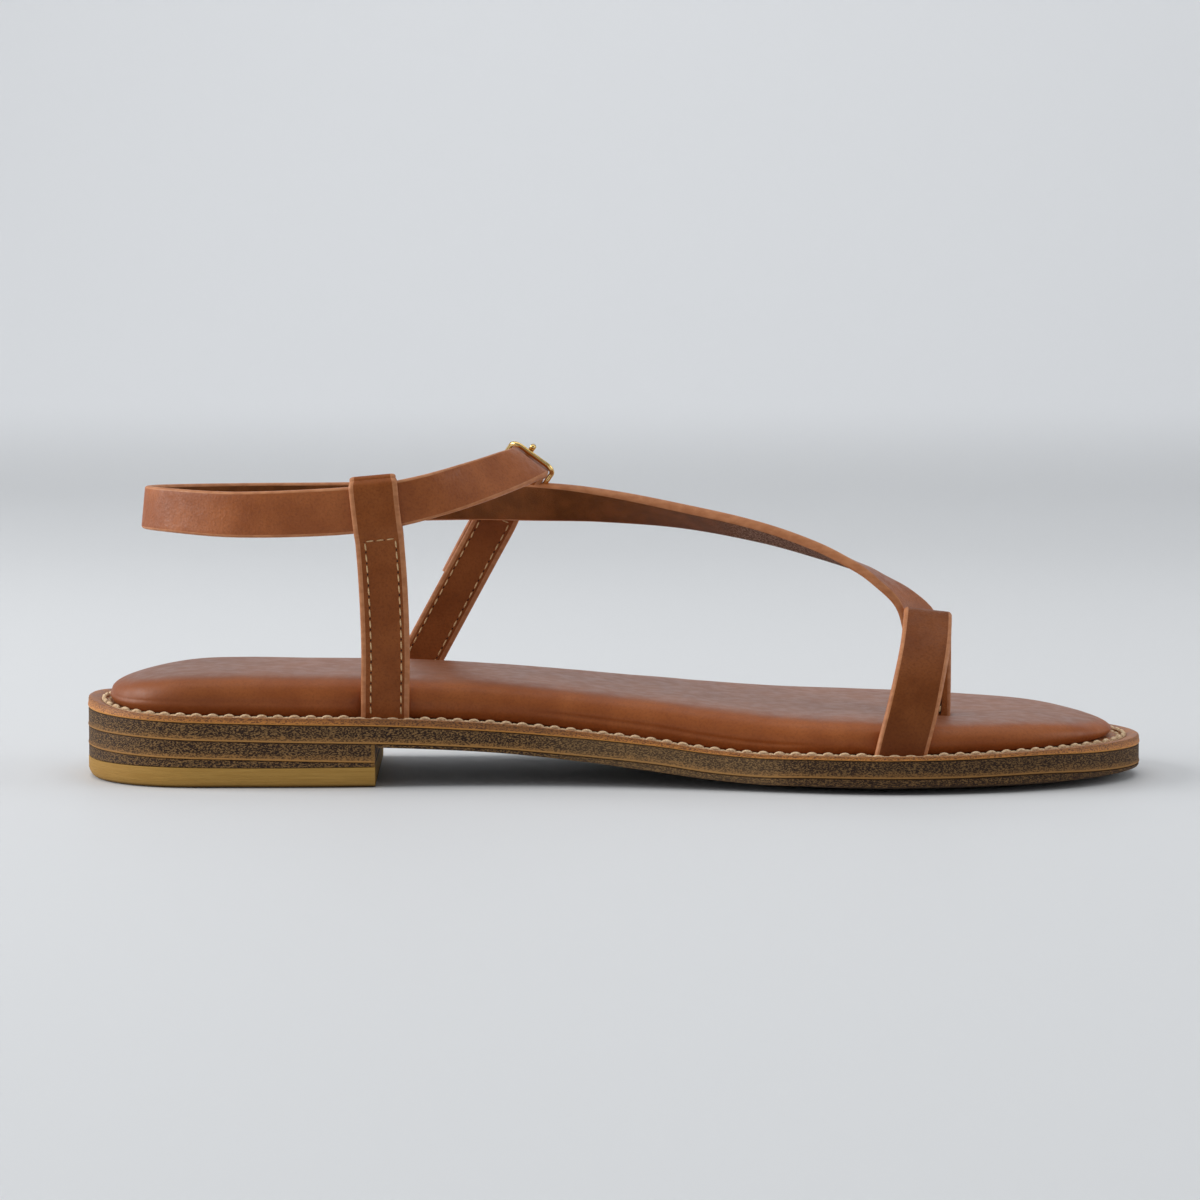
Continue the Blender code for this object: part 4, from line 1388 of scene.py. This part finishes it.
def build_stage():
    """Pale floor that sweeps up into a wall."""
    profile = [(FLOOR_FRONT, FLOOR_LEVEL), (SWEEP_START, FLOOR_LEVEL)]
    for i in range(1, SWEEP_STEPS + 1):
        angle = math.pi / 2 * i / SWEEP_STEPS
        y = SWEEP_START + SWEEP_RADIUS * math.sin(angle)
        profile.append((y, FLOOR_LEVEL + SWEEP_RADIUS * (1 - math.cos(angle))))
    profile.append((profile[-1][0], WALL_TOP))
    mesh = bmesh.new()
    rows = [[mesh.verts.new((x, y, z)) for x in (-FLOOR_HALF, FLOOR_HALF)] for y, z in profile]
    for a, b in zip(rows, rows[1:]):
        mesh.faces.new((a[0], a[1], b[1], b[0]))
    paint = Paint("floor", roughness=0.6, specular=0.25)
    floor_grey = paint.blend(paint.span("Y", *FAR_FADE), NEAR_GREY, FAR_GREY)
    paint.put(colour=paint.blend(paint.span("Z", *WALL_FADE), floor_grey, WALL_GREY))
    floor = to_scene("floor", smooth_data("floor", mesh, [paint.made]))


def add_light(light):
    data = bpy.data.lights.new(light.name, "AREA")
    data.shape = "RECTANGLE"
    data.size, data.size_y = light.size
    data.energy = light.power
    lamp = to_scene(light.name, data)
    lamp.location = light.spot
    aim = Vector(light.target) - Vector(light.spot)
    lamp.rotation_euler = aim.to_track_quat("-Z", "Y").to_euler()


def build_light():
    world = bpy.data.worlds.new("studio")
    world.use_nodes = True
    sky = world.node_tree.nodes["Background"]
    sky.inputs["Color"].default_value = SKY_COLOUR
    sky.inputs["Strength"].default_value = SKY_STRENGTH
    bpy.context.scene.world = world
    for light in LIGHTS:
        add_light(light)
    bpy.context.scene.view_settings.view_transform = "Standard"


def build_camera():
    data = bpy.data.cameras.new("camera")
    data.lens = CAMERA_LENS
    data.sensor_width = CAMERA_SENSOR
    data.clip_start = CAMERA_CLIP
    camera = to_scene("camera", data)
    camera.location = CAMERA_SPOT
    camera.rotation_euler = (math.radians(CAMERA_TILT), 0.0, 0.0)
    bpy.context.scene.camera = camera


def build():
    paints = {
        "face": strap_face("strap_leather", share=1.0, specular=0.32, instep=0.65),
        # The posts and the toe loop take darker copies of the strap leather: painted shade.
        "post": strap_face("post_leather_shaded", share=0.82, specular=0.16),
        "loop": strap_face("loop_leather_shaded", share=0.61, specular=0.16),
        "edge": strap_edge(),
        "back": strap_back(),
        "pad": footbed_leather(),
        "band": sole_band(),
        "welt": welt_side(),
        "ledge": welt_ledge(),
        "piece": top_piece(),
        "tread": tread_rubber(),
        "cord": thread("welt_cord", tone(238, 212, 176), tone(200, 164, 122)),
        "thread": thread("post_thread", tone(224, 190, 144), tone(194, 152, 104)),
        # Dark brown for needle holes and the slit: painted shade.
        "hole_shade": thread("stitch_hole_shade", tone(62, 32, 16), tone(44, 22, 12)),
        "gold": gold(),
    }
    build_sole(paints)
    build_welt_stitches(paints)
    build_footbed(paints)
    build_straps(paints)
    build_post_stitches(paints)
    build_buckle(paints)
    build_stage()
    build_light()
    build_camera()


build()
